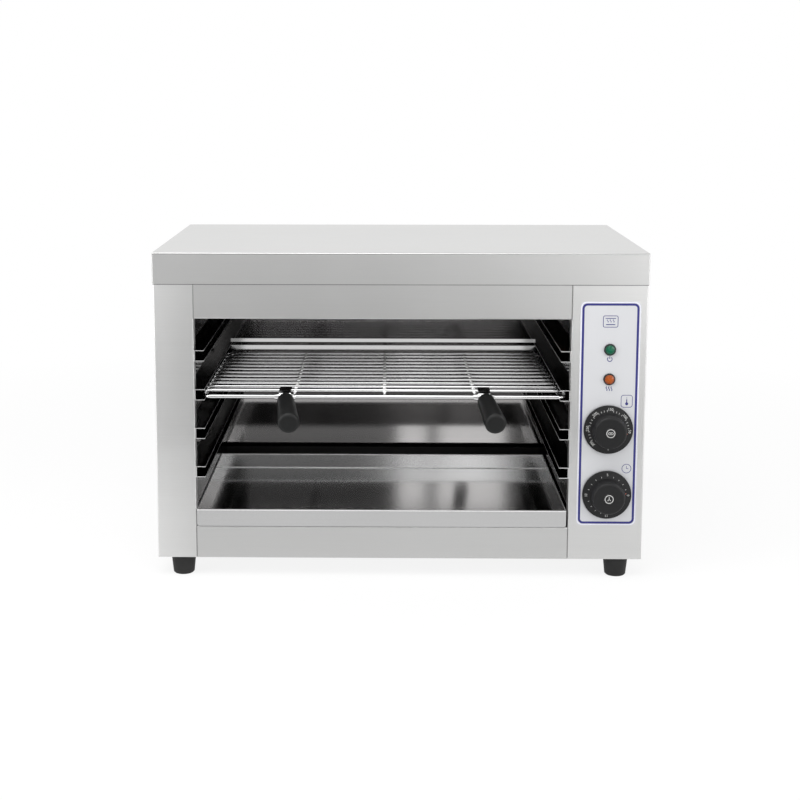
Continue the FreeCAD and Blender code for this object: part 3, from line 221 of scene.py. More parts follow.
def ramp(distance, reach):
    """0 where the distance is 0 or less, rising evenly to 1 where it is the reach."""
    return (distance/reach).above(0.0).below(1.0)


print("mask helpers ready")

# %% [markdown]
# ## Where the casing's tone changes
# The upright sheets of the front are painted a little lighter than the fascia between them,
# most of all near the left fold, as painted light. The fascia's lower fold gets a painted
# highlight, and the lid's front fold a painted shade that dims its highlight. The sheets' own
# boxes say where that is, so the masks would follow a change of size.

# %% Painted light on the front
RIM = 1.2*MM
LEFT_FOLD_LIGHT_REACH = 45*MM
PILLAR_LIGHT_GAIN, LEFT_FOLD_LIGHT_GAIN = 0.13, 0.20
FASCIA_FOLD_HIGHLIGHT, LID_FOLD_SHADE = 0.35, 0.22


def pillar_painted_light(tree):
    """Painted light: how much lighter the pillars' fronts are painted."""
    low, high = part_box("fascia")
    x = coordinate(tree, 0)
    front = (coordinate(tree, 2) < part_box("lid")[0].z)*(coordinate(tree, 1) < low.y + 3*RIM)
    beside = (x < low.x).above(x > high.x)
    return (beside*PILLAR_LIGHT_GAIN + ramp(low.x - x, LEFT_FOLD_LIGHT_REACH)*LEFT_FOLD_LIGHT_GAIN)*front


def fold_highlight_and_shade(tree):
    """A painted highlight on the fascia's lower fold, less a painted shade on the lid's front fold."""
    rail_low, rail_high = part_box("fascia")
    lid_low, lid_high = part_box("lid")
    bright = within(tree, rail_low - Vector((0, RIM, RIM)),
                    Vector((rail_high.x, rail_low.y + 3*RIM, rail_low.z + RIM)))
    shaded_fold = within(tree, Vector((lid_low.x, lid_low.y - RIM, lid_high.z - 2*RIM)),
                  Vector((lid_high.x, lid_low.y + 2*RIM, lid_high.z + RIM)))
    return bright*FASCIA_FOLD_HIGHLIGHT - shaded_fold*LID_FOLD_SHADE


print("tones of the front:", pillar_painted_light.__name__, fold_highlight_and_shade.__name__)

# %% [markdown]
# ## The hidden space and the tray
# Every surface in the space behind the cavity is painted nearly black, as painted shade of that
# closed space, which the cooling slots show. The casing is painted darker towards the counter, as
# painted shade. The tray's upper rims and the foot of its back wall get a painted highlight and
# more roughness. The two last functions give what a finish multiplies its tone by, and what it
# adds to its roughness.

# %% Painted light and shade of the casing and the tray
SKIN = 0.6*MM
LINER_CLEARANCE = 1.0*MM
LID_DEPTH = 2.0*MM
TRAY_SHEET = 1.0*MM
LOW_SHADE_TOP = 150*MM
LOW_SHADE_REACH = 110*MM
HIDDEN_SHADE, LOW_SHADE_AMOUNT = 0.88, 0.18
RIM_HIGHLIGHT_GAIN, RIM_ROUGHNESS = 0.8, 0.35


def hidden_space_shade(tree):
    """1 on every surface in the space behind the cavity, which is painted nearly black as shade."""
    left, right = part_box("left_side_panel")[0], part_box("right_side_panel")[1]
    wall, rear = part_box("cavity_back_wall")[1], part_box("rear_panel")[1]
    floor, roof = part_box("base_plate")[0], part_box("lid")[1]
    return within(tree, Vector((left.x + SKIN, wall.y + LINER_CLEARANCE, floor.z + SKIN)),
                  Vector((right.x - SKIN, rear.y - SKIN, roof.z - LID_DEPTH)))


def casing_light_and_shade(tree):
    """The painted light and shade that the casing's place gives its tone, and its added roughness."""
    # Painted shade: the casing is painted darker towards the counter.
    low_shade = ramp(LOW_SHADE_TOP - coordinate(tree, 2), LOW_SHADE_REACH)
    lightness = (1 + pillar_painted_light(tree))*(1 + fold_highlight_and_shade(tree) - low_shade*LOW_SHADE_AMOUNT)
    # Painted shade: the space behind the cavity is painted nearly black.
    return lightness*(1 - hidden_space_shade(tree)*HIDDEN_SHADE), 0.0


def tray_rim_highlights(tree):
    """Painted highlight: the tray's upper rims and the foot of its back wall are brighter, and rougher.
    """
    low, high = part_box("crumb_tray")
    z = coordinate(tree, 2)
    foot = (coordinate(tree, 1) > high.y - TRAY_SHEET - RIM)*(z < low.z + TRAY_SHEET + RIM)
    rim_highlights = (z > high.z - RIM).above(foot)
    return 1 + rim_highlights*RIM_HIGHLIGHT_GAIN, rim_highlights*RIM_ROUGHNESS


print("tones of the casing and the tray:", casing_light_and_shade.__name__, tray_rim_highlights.__name__)

# %% [markdown]
# ## Brushed stainless steel
# The casing is sheet steel with a fine grain left by a belt. From a metre away it reads as an
# even satin grey, and close up as thin scratches along one direction. A picture of brushed steel
# would repeat, so noise squeezed to a fraction of a millimetre across the grain makes the
# scratches, and a wide soft noise adds the faint clouds that handling leaves. The tray is a
# smoother sheet of its own. After the colour and the grain come the roughness, the strength of
# the scratches and of the clouds, and the relief.

# %% Steel finishes
def steel(name, colour, grain, gloss, scratch, cloud, relief, by_place):
    """Brushed sheet steel. The grain stretches the scratches, and gloss is the roughness."""
    material, tree = new_finish(name)
    fine = pattern(tree, 1.0, 3.0, grain, 0.65)
    broad = pattern(tree, 5.0, 2.0)
    smear = pattern(tree, 16.0, 4.0, (1.0, 1.0, 0.35), 0.6)
    # by_place gives the painted light and shade of each place, and what it adds to the roughness.
    tone, added_roughness = by_place(tree)
    shade = (1 + (fine - 0.5)*scratch + (broad - 0.5)*cloud)*tone
    rough = gloss*(1 + (fine - 0.5)*0.25 + (smear - 0.5)*0.25) + added_roughness
    return close_finish(material, tree, {
        "Base Color": scaled(tree, colour, shade), "Metallic": 1.0, "Roughness": rough,
        "Normal": bumped(tree, fine, relief, 0.6)})


FINISHES["stainless_brushed"] = steel("stainless_brushed", (0.63, 0.63, 0.625), (14, 1500, 1500),
                                      0.40, 0.08, 0.05, 0.02*MM, casing_light_and_shade)
FINISHES["stainless_tray"] = steel("stainless_tray", (0.50, 0.50, 0.50), (12, 900, 900),
                                   0.12, 0.06, 0.12, 0.002*MM, tray_rim_highlights)
print("steel:", sorted(FINISHES))

# %% [markdown]
# ## The darkened sheets of the cavity
# The liner and the rack guides are darker copies of the casing's steel, as painted shade of the
# cavity, but not everywhere. The ribs of the back wall get a painted highlight, and the guides are
# bright where they were cut and where the rack rubs, which also paints in their edge highlights,
# while faces that point right, as the left wall does, get more painted shade. A mask mixes the two
# tones. Seen along its surface, bare metal turns into a clear mirror, and a grey tint of the
# grazing reflection dims that, as painted shade.

# %% Dark steel
WALL_SLOPE = 0.5
LEFT_WALL_SHADE_AMOUNT = 0.6
DARK_GRAIN = (10, 700, 700)
GRAZING_SHADE_TINT = (0.45, 0.45, 0.45, 1.0)


def dark_steel(name, dark, bright, gloss, bright_gloss, find_bright):
    """Sheet steel painted darker as shade, with painted highlights where the mask says so."""
    material, tree = new_finish(name)
    fine = pattern(tree, 1.0, 3.0, DARK_GRAIN, 0.65)
    broad = pattern(tree, 5.0, 2.0)
    # Painted shade: faces that point right, as the left wall does, are painted darker.
    left_wall_shade = (facing(tree, 0) > WALL_SLOPE)*LEFT_WALL_SHADE_AMOUNT
    shade = (1 + (fine - 0.5)*0.08 + (broad - 0.5)*0.16)*(1 - left_wall_shade)
    mask = find_bright(tree)
    return close_finish(material, tree, {
        "Base Color": mixed(tree, mask, scaled(tree, dark, shade), scaled(tree, bright, shade)),
        "Metallic": 1.0, "Specular Tint": GRAZING_SHADE_TINT,
        "Roughness": gloss*(0.9 + fine*0.2) + mask*(bright_gloss - gloss)})


print("dark steel ready")

# %% [markdown]
# ## Where the dark steel has painted highlights
# The ribs, which carry a painted highlight, are found by the way they face, because no flat wall
# leans as they do. The guides' bright places, bare cut and rubbed metal that also carries a
# painted highlight, are found by where they are: at the front ends, and along the rims nearest to
# the middle of the cavity.

# %% Liner and guides
RIB_SLOPE = 0.05
GUIDE_HIGHLIGHT_WIDTH = 0.6*MM
CUT_DEPTH = 0.3*MM


def find_rib_highlights(tree):
    """1 where the sheet slopes a little upwards, as the ribs do: their painted highlight."""
    rise = facing(tree, 2)
    return (rise > RIB_SLOPE)*(rise < WALL_SLOPE)


def find_edge_highlights(tree):
    """1 on the guides' front ends and shelf rims: bare, rubbed metal with a painted highlight."""
    left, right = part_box("left_guide_1"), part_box("right_guide_1")
    middle = (left[1].x + right[0].x)/2
    half = (right[0].x - left[1].x)/2
    side = coordinate(tree, 0) - middle
    rim = (half + GUIDE_HIGHLIGHT_WIDTH)**2 > side*side
    return rim.above(coordinate(tree, 1) < left[0].y + CUT_DEPTH)


# The liner and guides are darker copies of the casing's steel, as painted shade of the cavity.
FINISHES["stainless_liner"] = dark_steel("stainless_liner", (0.38, 0.372, 0.37), (0.60, 0.60, 0.60),
                                         0.05, 0.10, find_rib_highlights)
FINISHES["stainless_guide"] = dark_steel("stainless_guide", (0.10, 0.098, 0.097), (0.85, 0.85, 0.85),
                                         0.12, 0.42, find_edge_highlights)
print("dark steel:", sorted(FINISHES))

# %% [markdown]
# ## Bright chrome
# The rack and its clips are chrome-plated wire. Chrome is nearly a mirror with a slightly cool
# tone, and only the faint unevenness of the drawn wire keeps it from looking drawn by a computer.

# %% Chrome
def chrome():
    """Plated wire: a mirror with slight waves and a few dull specks."""
    material, tree = new_finish("chrome_wire")
    waves = pattern(tree, 90.0, 2.0)
    specks = pattern(tree, 1400.0, 2.0)
    rough = 0.06 + waves*0.04 + (specks > 0.66)*0.08
    return close_finish(material, tree, {
        "Base Color": scaled(tree, (0.72, 0.72, 0.725), 1 + (waves - 0.5)*0.08),
        "Metallic": 1.0, "Roughness": rough, "Normal": bumped(tree, waves, 0.03*MM, 0.5)})


FINISHES["chrome_wire"] = chrome()
print("chrome:", FINISHES["chrome_wire"].name)

# %% [markdown]
# ## Black mouldings and rubber
# The grips, knobs, caps and feet are all black, and they differ only in how they take light: the
# knobs are satin, the grips have a fine moulded grain, and the rubber is dull with a little dust.
# One function makes them all. Each row of the table gives a colour, the roughness, the size of
# the grain, its relief and the share of dust.

# %% Black plastics and rubber
DUST_COLOUR = (0.30, 0.29, 0.28, 1.0)


def moulding(name, colour, gloss, grain_size, relief, dust):
    """A moulded plastic or rubber with its grain, in metres, and a share of pale dust."""
    material, tree = new_finish(name)
    grain = pattern(tree, 1/grain_size, 3.0)
    patches = pattern(tree, 28.0, 3.0)
    clean = scaled(tree, colour, 0.9 + patches*0.25)
    colour_out = mixed(tree, patches*patches*dust, clean, DUST_COLOUR)
    rough = gloss + (grain - 0.5)*0.12 + (patches - 0.5)*0.10
    return close_finish(material, tree, {
        "Base Color": colour_out, "Roughness": rough, "Specular IOR Level": 0.24,
        "Normal": bumped(tree, grain, relief)})


MOULDINGS = {
    "black_grip": ((0.0075, 0.0078, 0.0078), 0.45, 0.6*MM, 0.04*MM, 0.0),
    "black_knob": ((0.0095, 0.0095, 0.010), 0.48, 0.5*MM, 0.02*MM, 0.0),
    "black_cap": ((0.014, 0.014, 0.015), 0.34, 0.6*MM, 0.01*MM, 0.0),
    "black_rubber": ((0.010, 0.010, 0.010), 0.62, 0.7*MM, 0.05*MM, 0.08),
    "black_moulding": ((0.02, 0.02, 0.021), 0.45, 0.8*MM, 0.04*MM, 0.0),
    "lamp_rim": ((0.02, 0.02, 0.021), 0.30, 0.9*MM, 0.01*MM, 0.0),
    "pale_moulding": ((0.60, 0.58, 0.52), 0.5, 1.2*MM, 0.03*MM, 0.0),
}
for name, sizes in MOULDINGS.items():
    FINISHES[name] = moulding(name, *sizes)
print("finishes so far:", len(FINISHES))

# %% [markdown]
# ## Lamp lenses
# Each pilot lamp has a coloured lens with small facets that spread its light. The lamps are off,
# so the colour is deep, with a lighter middle where the pale reflector behind shows through. A
# pattern of cells tilts the surface for the facets, and the lens has a clear glossy coat.

# %% Lens finishes
LENS_RADIUS = 6.0*MM
FACET_SCALE = 620.0
FACET_RELIEF = 0.4*MM


def lens(name, deep, bright, middle):
    """A faceted coloured lens about a middle point (x, z), lighter towards the middle."""
    material, tree = new_finish(name)
    place = tree.node("ShaderNodeTexCoord", output="Object")
    across = (coordinate(tree, 0) - middle[0])/LENS_RADIUS
    up = (coordinate(tree, 2) - middle[1])/LENS_RADIUS
    glow = (1 - (across*across + up*up)).above(0.0)
    facets = tree.node("ShaderNodeTexVoronoi", None, {"Vector": place, "Scale": FACET_SCALE})
    tone = glow*0.75 + facets*0.25
    return close_finish(material, tree, {
        "Base Color": mixed(tree, tone, deep, bright), "Roughness": 0.22 + facets*0.1,
        "Coat Weight": 0.3, "Coat Roughness": 0.08, "Specular IOR Level": 0.25,
        "Normal": bumped(tree, facets, FACET_RELIEF, 0.5)})


def middle_of(node):
    """The middle of a CAD node's box, in metres."""
    low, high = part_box(node)
    return (low + high)/2


power_middle = middle_of("power_lamp_lens")
heat_middle = middle_of("heat_lamp_lens")
FINISHES["green_lens"] = lens("green_lens", (0.0, 0.050, 0.024, 1), (0.0, 0.115, 0.055, 1),
                              (power_middle.x, power_middle.z))
FINISHES["amber_lens"] = lens("amber_lens", (0.19, 0.030, 0.002, 1), (0.38, 0.078, 0.004, 1),
                              (heat_middle.x, heat_middle.z))
print("lenses at", tuple(power_middle), tuple(heat_middle))

# %% [markdown]
# ## The printed film, the elements and the small metal parts
# The control face carries a pale plastic film. It is nearly flat in colour, with the faint
# texture that such films have. Behind and inside are heating elements with a dark oxidised
# sheath, copper tube, and zinc-plated screws and pins, each with its own tone.

# %% Film and small metals
def film():
    """Pale printed film with a fine pebble texture and a slight lean in tone."""
    material, tree = new_finish("printed_label")
    pebble = pattern(tree, 1600.0, 2.0)
    broad = pattern(tree, 9.0, 2.0)
    colour = scaled(tree, (0.54, 0.545, 0.562), 0.97 + broad*0.06 + (pebble - 0.5)*0.02)
    return close_finish(material, tree, {
        "Base Color": colour, "Roughness": 0.42 + (pebble - 0.5)*0.1, "Specular IOR Level": 0.4,
        "Normal": bumped(tree, pebble, 0.01*MM)})


def small_metal(name, light, dark, gloss, patch_size, metal=1.0):
    """A metal part whose tone wanders between two colours."""
    material, tree = new_finish(name)
    patches = pattern(tree, 1/patch_size, 4.0)
    specks = pattern(tree, 900.0, 2.0)
    rough = gloss + (patches - 0.5)*0.2 + (specks - 0.5)*0.08
    return close_finish(material, tree, {
        "Base Color": mixed(tree, patches, dark, light), "Metallic": metal, "Roughness": rough,
        "Normal": bumped(tree, specks, 0.03*MM, 0.5)})


FINISHES["printed_label"] = film()
FINISHES["element_sheath"] = small_metal("element_sheath", (0.22, 0.20, 0.19, 1), (0.07, 0.065, 0.07, 1),
                                         0.48, 30*MM, 0.8)
FINISHES["plated_steel"] = small_metal("plated_steel", (0.66, 0.66, 0.68, 1), (0.48, 0.48, 0.47, 1),
                                       0.30, 4*MM)
FINISHES["copper_tube"] = small_metal("copper_tube", (0.72, 0.38, 0.24, 1), (0.42, 0.20, 0.12, 1),
                                      0.32, 20*MM)
print("finishes:", len(FINISHES))

# %% [markdown]
# ## Dress the frame
# The record names a material slot for every node, so one loop gives each CAD object the finish
# of its slot. Nothing is moved and no mesh is changed: only the material slots are filled.

# %% Assign the finishes
SLOT_OF = {row["node"]: row["material_slot"] for row in frame["record"]["subparts"]}
for name, piece in frame["nodes"].items():
    piece.data.materials.clear()
    piece.data.materials.append(FINISHES[SLOT_OF[name]])
print("dressed:", len(frame["nodes"]), "nodes")

# %% [markdown]
# ## Ink
# Printed marks on the film and on the dials could be painted in a shader, but numbers can't, and
# a thin layer of ink is a real thing with an edge. So every mark here is a slab a few hundredths
# of a millimetre proud of what carries it. Flat marks are drawn in millimetres across (u) and up
# (v), and a `place` function carries a drawn point onto the flat film or round a dial's skirt.

# %% Inks
INK_PROUD = 0.06
INK_SUNK = 0.05


def ink(name, colour, gloss):
    """Screen ink, slightly uneven in tone."""
    material, tree = new_finish(name)
    uneven = pattern(tree, 700.0, 3.0)
    return close_finish(material, tree, {
        "Base Color": scaled(tree, colour, 0.88 + uneven*0.24), "Roughness": gloss + (uneven - 0.5)*0.1})


navy_ink = ink("navy_ink", (0.016, 0.017, 0.16), 0.45)
pale_ink = ink("pale_ink", (0.68, 0.68, 0.76), 0.45)
grey_ink = ink("grey_ink", (0.50, 0.50, 0.49), 0.5)
red_ink = ink("red_ink", (0.52, 0.12, 0.08), 0.5)
print("inks:", navy_ink.name, pale_ink.name, grey_ink.name, red_ink.name)

# %% [markdown]
# ## Strokes and blots
# Every mark is one of three things: a stroke of even width along points, a filled outline, or
# digits. A stroke's corners are mitred, so its width stays even round a bend. At a sharp corner
# the mitre would run far out, and a limit stops that.

# %% Stroke and blot
MITRE_LIMIT = 0.4


def stroke(mesh, points, width, place, closed=False):
    """A line of one width along points, as a thin closed slab with mitred corners."""
    count = len(points)
    rows = []
    for k, (u, v) in enumerate(points):
        before = points[k - 1] if k or closed else points[k]
        after = points[(k + 1) % count] if k < count - 1 or closed else points[k]
        arrive = Vector((u - before[0], v - before[1]))
        leave = Vector((after[0] - u, after[1] - v))
        arrive = arrive.normalized() if arrive.length else leave.normalized()
        leave = leave.normalized() if leave.length else arrive
        along = (arrive + leave).normalized()
        side = Vector((-along.y, along.x))*(width/2/max(MITRE_LIMIT, along.dot(leave)))
        rows.append([mesh.verts.new(place(u + way*side.x, v + way*side.y, lift))
                     for way, lift in ((1, INK_PROUD), (-1, INK_PROUD), (-1, -INK_SUNK), (1, -INK_SUNK))])
    pairs = list(zip(rows, rows[1:] + rows[:1])) if closed else list(zip(rows, rows[1:]))
    for row, following in pairs:
        for k in range(4):
            mesh.faces.new((row[k], row[(k + 1) % 4], following[(k + 1) % 4], following[k]))
    if not closed:
        mesh.faces.new(rows[0][::-1])
        mesh.faces.new(rows[-1])


def blot(mesh, points, place):
    """A filled outline, as a thin closed slab."""
    high = [mesh.verts.new(place(u, v, INK_PROUD)) for u, v in points]
    low = [mesh.verts.new(place(u, v, -INK_SUNK)) for u, v in points]
    mesh.faces.new(high)
    mesh.faces.new(low[::-1])
    for k in range(len(points)):
        following = (k + 1) % len(points)
        mesh.faces.new((high[following], high[k], low[k], low[following]))


print("stroke and blot ready")

# %% [markdown]
# ## Digits
# The digits come from the plain built-in face as thick letters. Their front goes to the ink's
# proud height and their back to its sunk one, through the same place function.

# %% Digits
DIGIT_SIZE_SHARE = 1.38
LETTER_DEPTH = 1.0


def figure(mesh, words, height, u, v, place):
    """Digits set in the plain built-in face, their middle at (u, v)."""
    curve = bpy.data.curves.new("figure", "FONT")
    curve.body = words
    curve.size = height*DIGIT_SIZE_SHARE
    curve.align_x = "CENTER"
    curve.align_y = "CENTER"
    curve.extrude = LETTER_DEPTH
    carrier = bpy.data.objects.new("figure", curve)
    bpy.context.scene.collection.objects.link(carrier)
    flat = bpy.data.meshes.new_from_object(carrier)
    start = [mesh.verts.new(place(u + p.co.x, v + p.co.y, INK_PROUD if p.co.z > 0 else -INK_SUNK))
             for p in flat.vertices]
    for face in flat.polygons:
        mesh.faces.new([start[k] for k in face.vertices])
    bpy.data.objects.remove(carrier)
    bpy.data.curves.remove(curve)
    bpy.data.meshes.remove(flat)


print("digits ready")

# %% [markdown]
# ## Outlines and pieces
# Two outlines come up again and again, a circle and a box with round corners. A drawn mesh becomes
# a piece in one place, which joins its points, turns its faces outwards and lets it ride on the
# body that carries it, so that a mark on a dial turns with the dial.

# %% Outlines, and from mesh to piece
WELD_DISTANCE = 1e-8
CORNER_STEPS = 6


def ring_points(radius, count, u=0.0, v=0.0):
    """Points of a circle."""
    return [(u + radius*math.cos(math.tau*k/count), v + radius*math.sin(math.tau*k/count))
            for k in range(count)]


def round_box(u_half, v_half, radius, u=0.0, v=0.0):
    """Points of a rectangle with round corners."""
    points = []
    for corner, (way_u, way_v) in enumerate(((1, 1), (-1, 1), (-1, -1), (1, -1))):
        for k in range(CORNER_STEPS + 1):
            angle = math.pi/2*(corner + k/CORNER_STEPS)
            points.append((u + way_u*(u_half - radius) + radius*math.cos(angle),
                           v + way_v*(v_half - radius) + radius*math.sin(angle)))
    return points


def to_piece(name, mesh, body, material):
    """Turn drawn geometry into an object that rides on a body."""
    bmesh.ops.remove_doubles(mesh, verts=mesh.verts, dist=WELD_DISTANCE)
    bmesh.ops.recalc_face_normals(mesh, faces=mesh.faces)
    data = bpy.data.meshes.new(name)
    mesh.to_mesh(data)
    mesh.free()
    data.materials.append(material)
    piece = bpy.data.objects.new(name, data)
    bpy.context.scene.collection.objects.link(piece)
    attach(piece, body)
    print("made", name, len(data.vertices), "points")
    return piece


print("piece helpers ready")

# %% [markdown]
# ## The border
# The film has a dark blue frame line with round corners and a lighter edge outside it. Both are
# closed strokes round the same middle, drawn a little inside the film's own edge.

# %% Border of the film
film_low, film_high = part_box("control_label")
film_x = (film_low.x + film_high.x)/2


def on_film(u, v, lift):
    """A drawn point in millimetres, u from the film's middle and v above the counter."""
    return (film_x + u*MM, film_low.y - lift*MM, v*MM)


BORDER_MIDDLE_V = 210.0
BORDERS = (
    ("label_border", navy_ink, (33.6, 138.1, 5.0), 2.8),
    ("label_edge", pale_ink, (36.0, 140.5, 6.0), 1.4),
)
for name, material, (u_half, v_half, radius), width in BORDERS:
    border = bmesh.new()
    outline = round_box(u_half, v_half, radius, 0, BORDER_MIDDLE_V)
    stroke(border, outline, width, on_film, closed=True)
    to_piece(name, border, "housing", material)

# %% [markdown]
# ## The pictograms
# Plain signs say what each lamp and dial is for: a switch sign under the first lamp, rising heat
# under the second, a thermometer by the upper dial, a clock by the lower one and heat from above
# at the top. They are made of a few kinds of line: upright, level and waving. All sizes are in
# millimetres.

# %% Lines of the signs
LAMP_SIGN_LINE = 0.95
BOX_LINE = 0.7
WAVE_POINTS = 12
WAVE_SWING = 0.22
signs = bmesh.new()


def upright(u, low, high, width):
    """A straight stroke upwards."""
    stroke(signs, [(u, low), (u, high)], width, on_film)


def level(v, half, width):
    """A straight stroke across the film's middle."""
    stroke(signs, [(-half, v), (half, v)], width, on_film)


def heat_lines(u, v, height, step, width):
    """Three upright waves."""
    for column in (-1, 0, 1):
        points = []
        for k in range(WAVE_POINTS + 1):
            swing = WAVE_SWING*step*math.sin(math.tau*k/WAVE_POINTS)
            points.append((u + column*step + swing, v + height*(k/WAVE_POINTS - 0.5)))
        stroke(signs, points, width, on_film)


print("sign lines ready")

# %% [markdown]
# ## The signs in their places
# The switch and the heat sign hang below their lamps, so they follow the lamps' own places. The
# other three have fixed middles on the film.

# %% Signs on the film
LAMP_SIGN_DROP = 11.9
SWITCH_RADIUS = 2.9
SWITCH_OPENING = 40
THERMOMETER = (22.2, 227.2)
CLOCK = (24.1, 141.5)
GRILL = (0.0, 327.0)
GRILL_RISE = 3.8


def switch_sign(v):
    """An open ring with a stroke through its gap."""
    opening = [(SWITCH_RADIUS*math.sin(math.radians(a)), v + SWITCH_RADIUS*math.cos(math.radians(a)))
               for a in range(SWITCH_OPENING, 361 - SWITCH_OPENING, 20)]
    stroke(signs, opening, LAMP_SIGN_LINE, on_film)
    upright(0, v + 0.4, v + 3.8, LAMP_SIGN_LINE)


def thermometer_sign(u, v):
    """A boxed thermometer: bulb, column and tip."""
    stroke(signs, round_box(6.9, 7.6, 3.0, u, v), BOX_LINE, on_film, closed=True)
    upright(u, v - 2.0, v + 2.4, 1.2)
    blot(signs, ring_points(1.9, 20, u, v - 3.2), on_film)
    upright(u, v + 3.2, v + 5.0, 0.5)


def clock_sign(u, v):
    """A round clock with two hands."""
    stroke(signs, ring_points(5.6, 32, u, v), BOX_LINE, on_film, closed=True)
    stroke(signs, [(u, v + 3.4), (u, v), (u + 2.4, v)], 0.6, on_film)


def grill_sign(u, v):
    """A boxed grill: the element above, heat below it and the shelf."""
    stroke(signs, round_box(9.0, 7.0, 2.0, u, v), 0.8, on_film, closed=True)
    level(v + GRILL_RISE, 6.4, 0.9)
    heat_lines(u, v + 0.6, 3.6, 3.6, 0.7)
    level(v - GRILL_RISE, 5.6, 1.1)


switch_sign(power_middle.z/MM - LAMP_SIGN_DROP)
heat_lines(0, heat_middle.z/MM - LAMP_SIGN_DROP, 5.4, 3.0, LAMP_SIGN_LINE)
thermometer_sign(*THERMOMETER)
clock_sign(*CLOCK)
grill_sign(*GRILL)
to_piece("label_signs", signs, "housing", navy_ink)

# %% [markdown]
# ## The dials
# Each knob has a sloping skirt with its scale printed round it. The scale turns with the knob, so
# its marks ride on the knob's body. Flat text laid on a cone would cut into it, so each point of
# a digit is carried round the skirt: across becomes an angle and up becomes a radius.

# %% Marks on the dials
SKIRT_RADIUS = 30.5
SKIRT_EDGE = 2.6
DOME_RADIUS = 21.5
SKIRT_TOP = 5.5
SCALE_RADIUS = 25.8
NUMBER_OUT = 0.3
TICK_FOOT = 23.3
TICK_WIDTH = 0.5


def on_skirt(node, turn):
    """A place function for one knob's skirt, with its own up turned clockwise by an angle."""
    low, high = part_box(node)
    middle = (low + high)/2
    slope = (SKIRT_TOP - SKIRT_EDGE)/(SKIRT_RADIUS - DOME_RADIUS)

    def place(u, v, lift):
        angle = math.radians(turn) + u/SCALE_RADIUS
        rise = SKIRT_EDGE + (SKIRT_RADIUS - v)*slope + lift
        return (middle.x + v*MM*math.sin(angle), high.y - rise*MM, middle.z + v*MM*math.cos(angle))
    return place


def scale(node, body, numbers, ticks, length, number_height):
    """Numbers and ticks on one dial. Both are given by their clockwise angles."""
    mesh = bmesh.new()
    for words, angle in numbers:
        figure(mesh, words, number_height, 0, SCALE_RADIUS + NUMBER_OUT, on_skirt(node, angle))
    for angle in ticks:
        tick = [(0, TICK_FOOT), (0, TICK_FOOT + length)]
        stroke(mesh, tick, TICK_WIDTH, on_skirt(node, angle))
    to_piece(node + "_scale", mesh, body, grey_ink)


def printed_scale(start, step, figures):
    """Numbers every fifth step with ticks between them, anticlockwise from a start angle."""
    numbers = [(words, start - 5*step*k) for k, words in enumerate(figures)]
    ticks = [start - step*k for k in range(5*len(figures) - 4) if k % 5]
    return numbers, ticks


numbers, ticks = printed_scale(94.0, 9.0, ("50", "100", "150", "200", "250", "300"))
scale("thermostat_knob", "thermostat_dial", numbers, ticks + [180.0], 2.2, 3.3)
numbers, ticks = printed_scale(90.0, 18.0, ("0", "5", "10", "15"))
scale("timer_knob", "timer_dial", numbers, ticks, 1.6, 3.0)

# %% [markdown]
# ## The red dots
# A small red dot on each skirt marks the off position. It rides on the knob as the scale does.

# %% Dots on the dials
DOT_RADIUS = 0.6
DOT_POINTS = 16
DOT_PLACE = 23.2
DOTS = (("thermostat_knob", "thermostat_dial", 102.0), ("timer_knob", "timer_dial", 84.0))
for node, body, angle in DOTS:
    dot = bmesh.new()
    blot(dot, ring_points(DOT_RADIUS, DOT_POINTS, 0, DOT_PLACE), on_skirt(node, angle))
    to_piece(node + "_dot", dot, body, red_ink)

# %% [markdown]
# ## The centre caps
# A small disc closes each knob's middle. It carries a pale ring with a sign in it: a lying
# thermometer for the heat and three hands for the time.

# %% Signs on the caps
def on_cap(node):
    """A place function for the flat front of a cap."""
    low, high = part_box(node)
    middle = (low + high)/2

    def place(u, v, lift):
        return (middle.x + u*MM, low.y - lift*MM, middle.z + v*MM)
    return place


def lying_thermometer():
    """Outline strokes and open strokes of a thermometer that lies down."""
    return [round_box(3.0, 1.3, 1.25)], [[(-1.6, 0), (1.6, 0)]]


def clock_hands():
    """Open strokes of the hands, from one middle."""
    return [], [[(0, 3.2), (0, 0), (-2.0, -1.9)], [(0, 0), (2.0, -1.6)]]


RING_RADIUS = 5.0
RING_WIDTH = 0.9
RING_POINTS = 40
CAPS = (
    ("thermostat_cap", "thermostat_dial", lying_thermometer(), 0.6),
    ("timer_cap", "timer_dial", clock_hands(), 0.8),
)
for node, body, (outlines, strokes), width in CAPS:
    place = on_cap(node)
    mesh = bmesh.new()
    stroke(mesh, ring_points(RING_RADIUS, RING_POINTS), RING_WIDTH, place, closed=True)
    for points in outlines:
        stroke(mesh, points, width, place, closed=True)
    for points in strokes:
        stroke(mesh, points, width, place)
    to_piece(node + "_sign", mesh, body, grey_ink)

# %% [markdown]
# ## The joint lines
# Where two folded sheets meet there is a narrow gap that shows as a dark line: under the lid's
# skirt all round, and upright where the front rails meet the two pillars. Solids that touch leave
# no line at all, so a thin dark grey strip is laid in each joint, a little proud of the lower
# sheet, as painted shadow of the gap.

# %% Joint shadow helpers
def joint_shadow_finish():
    """Dark grey painted shadow for the joint gaps, slightly uneven."""
    material, tree = new_finish("joint_shadow")
    uneven = pattern(tree, 150.0, 4.0)
    return close_finish(material, tree, {
        "Base Color": scaled(tree, (0.14, 0.14, 0.14), 0.7 + uneven*0.6),
        "Roughness": 0.6 + (uneven - 0.5)*0.2})


EDGE_SHARE = 0.25


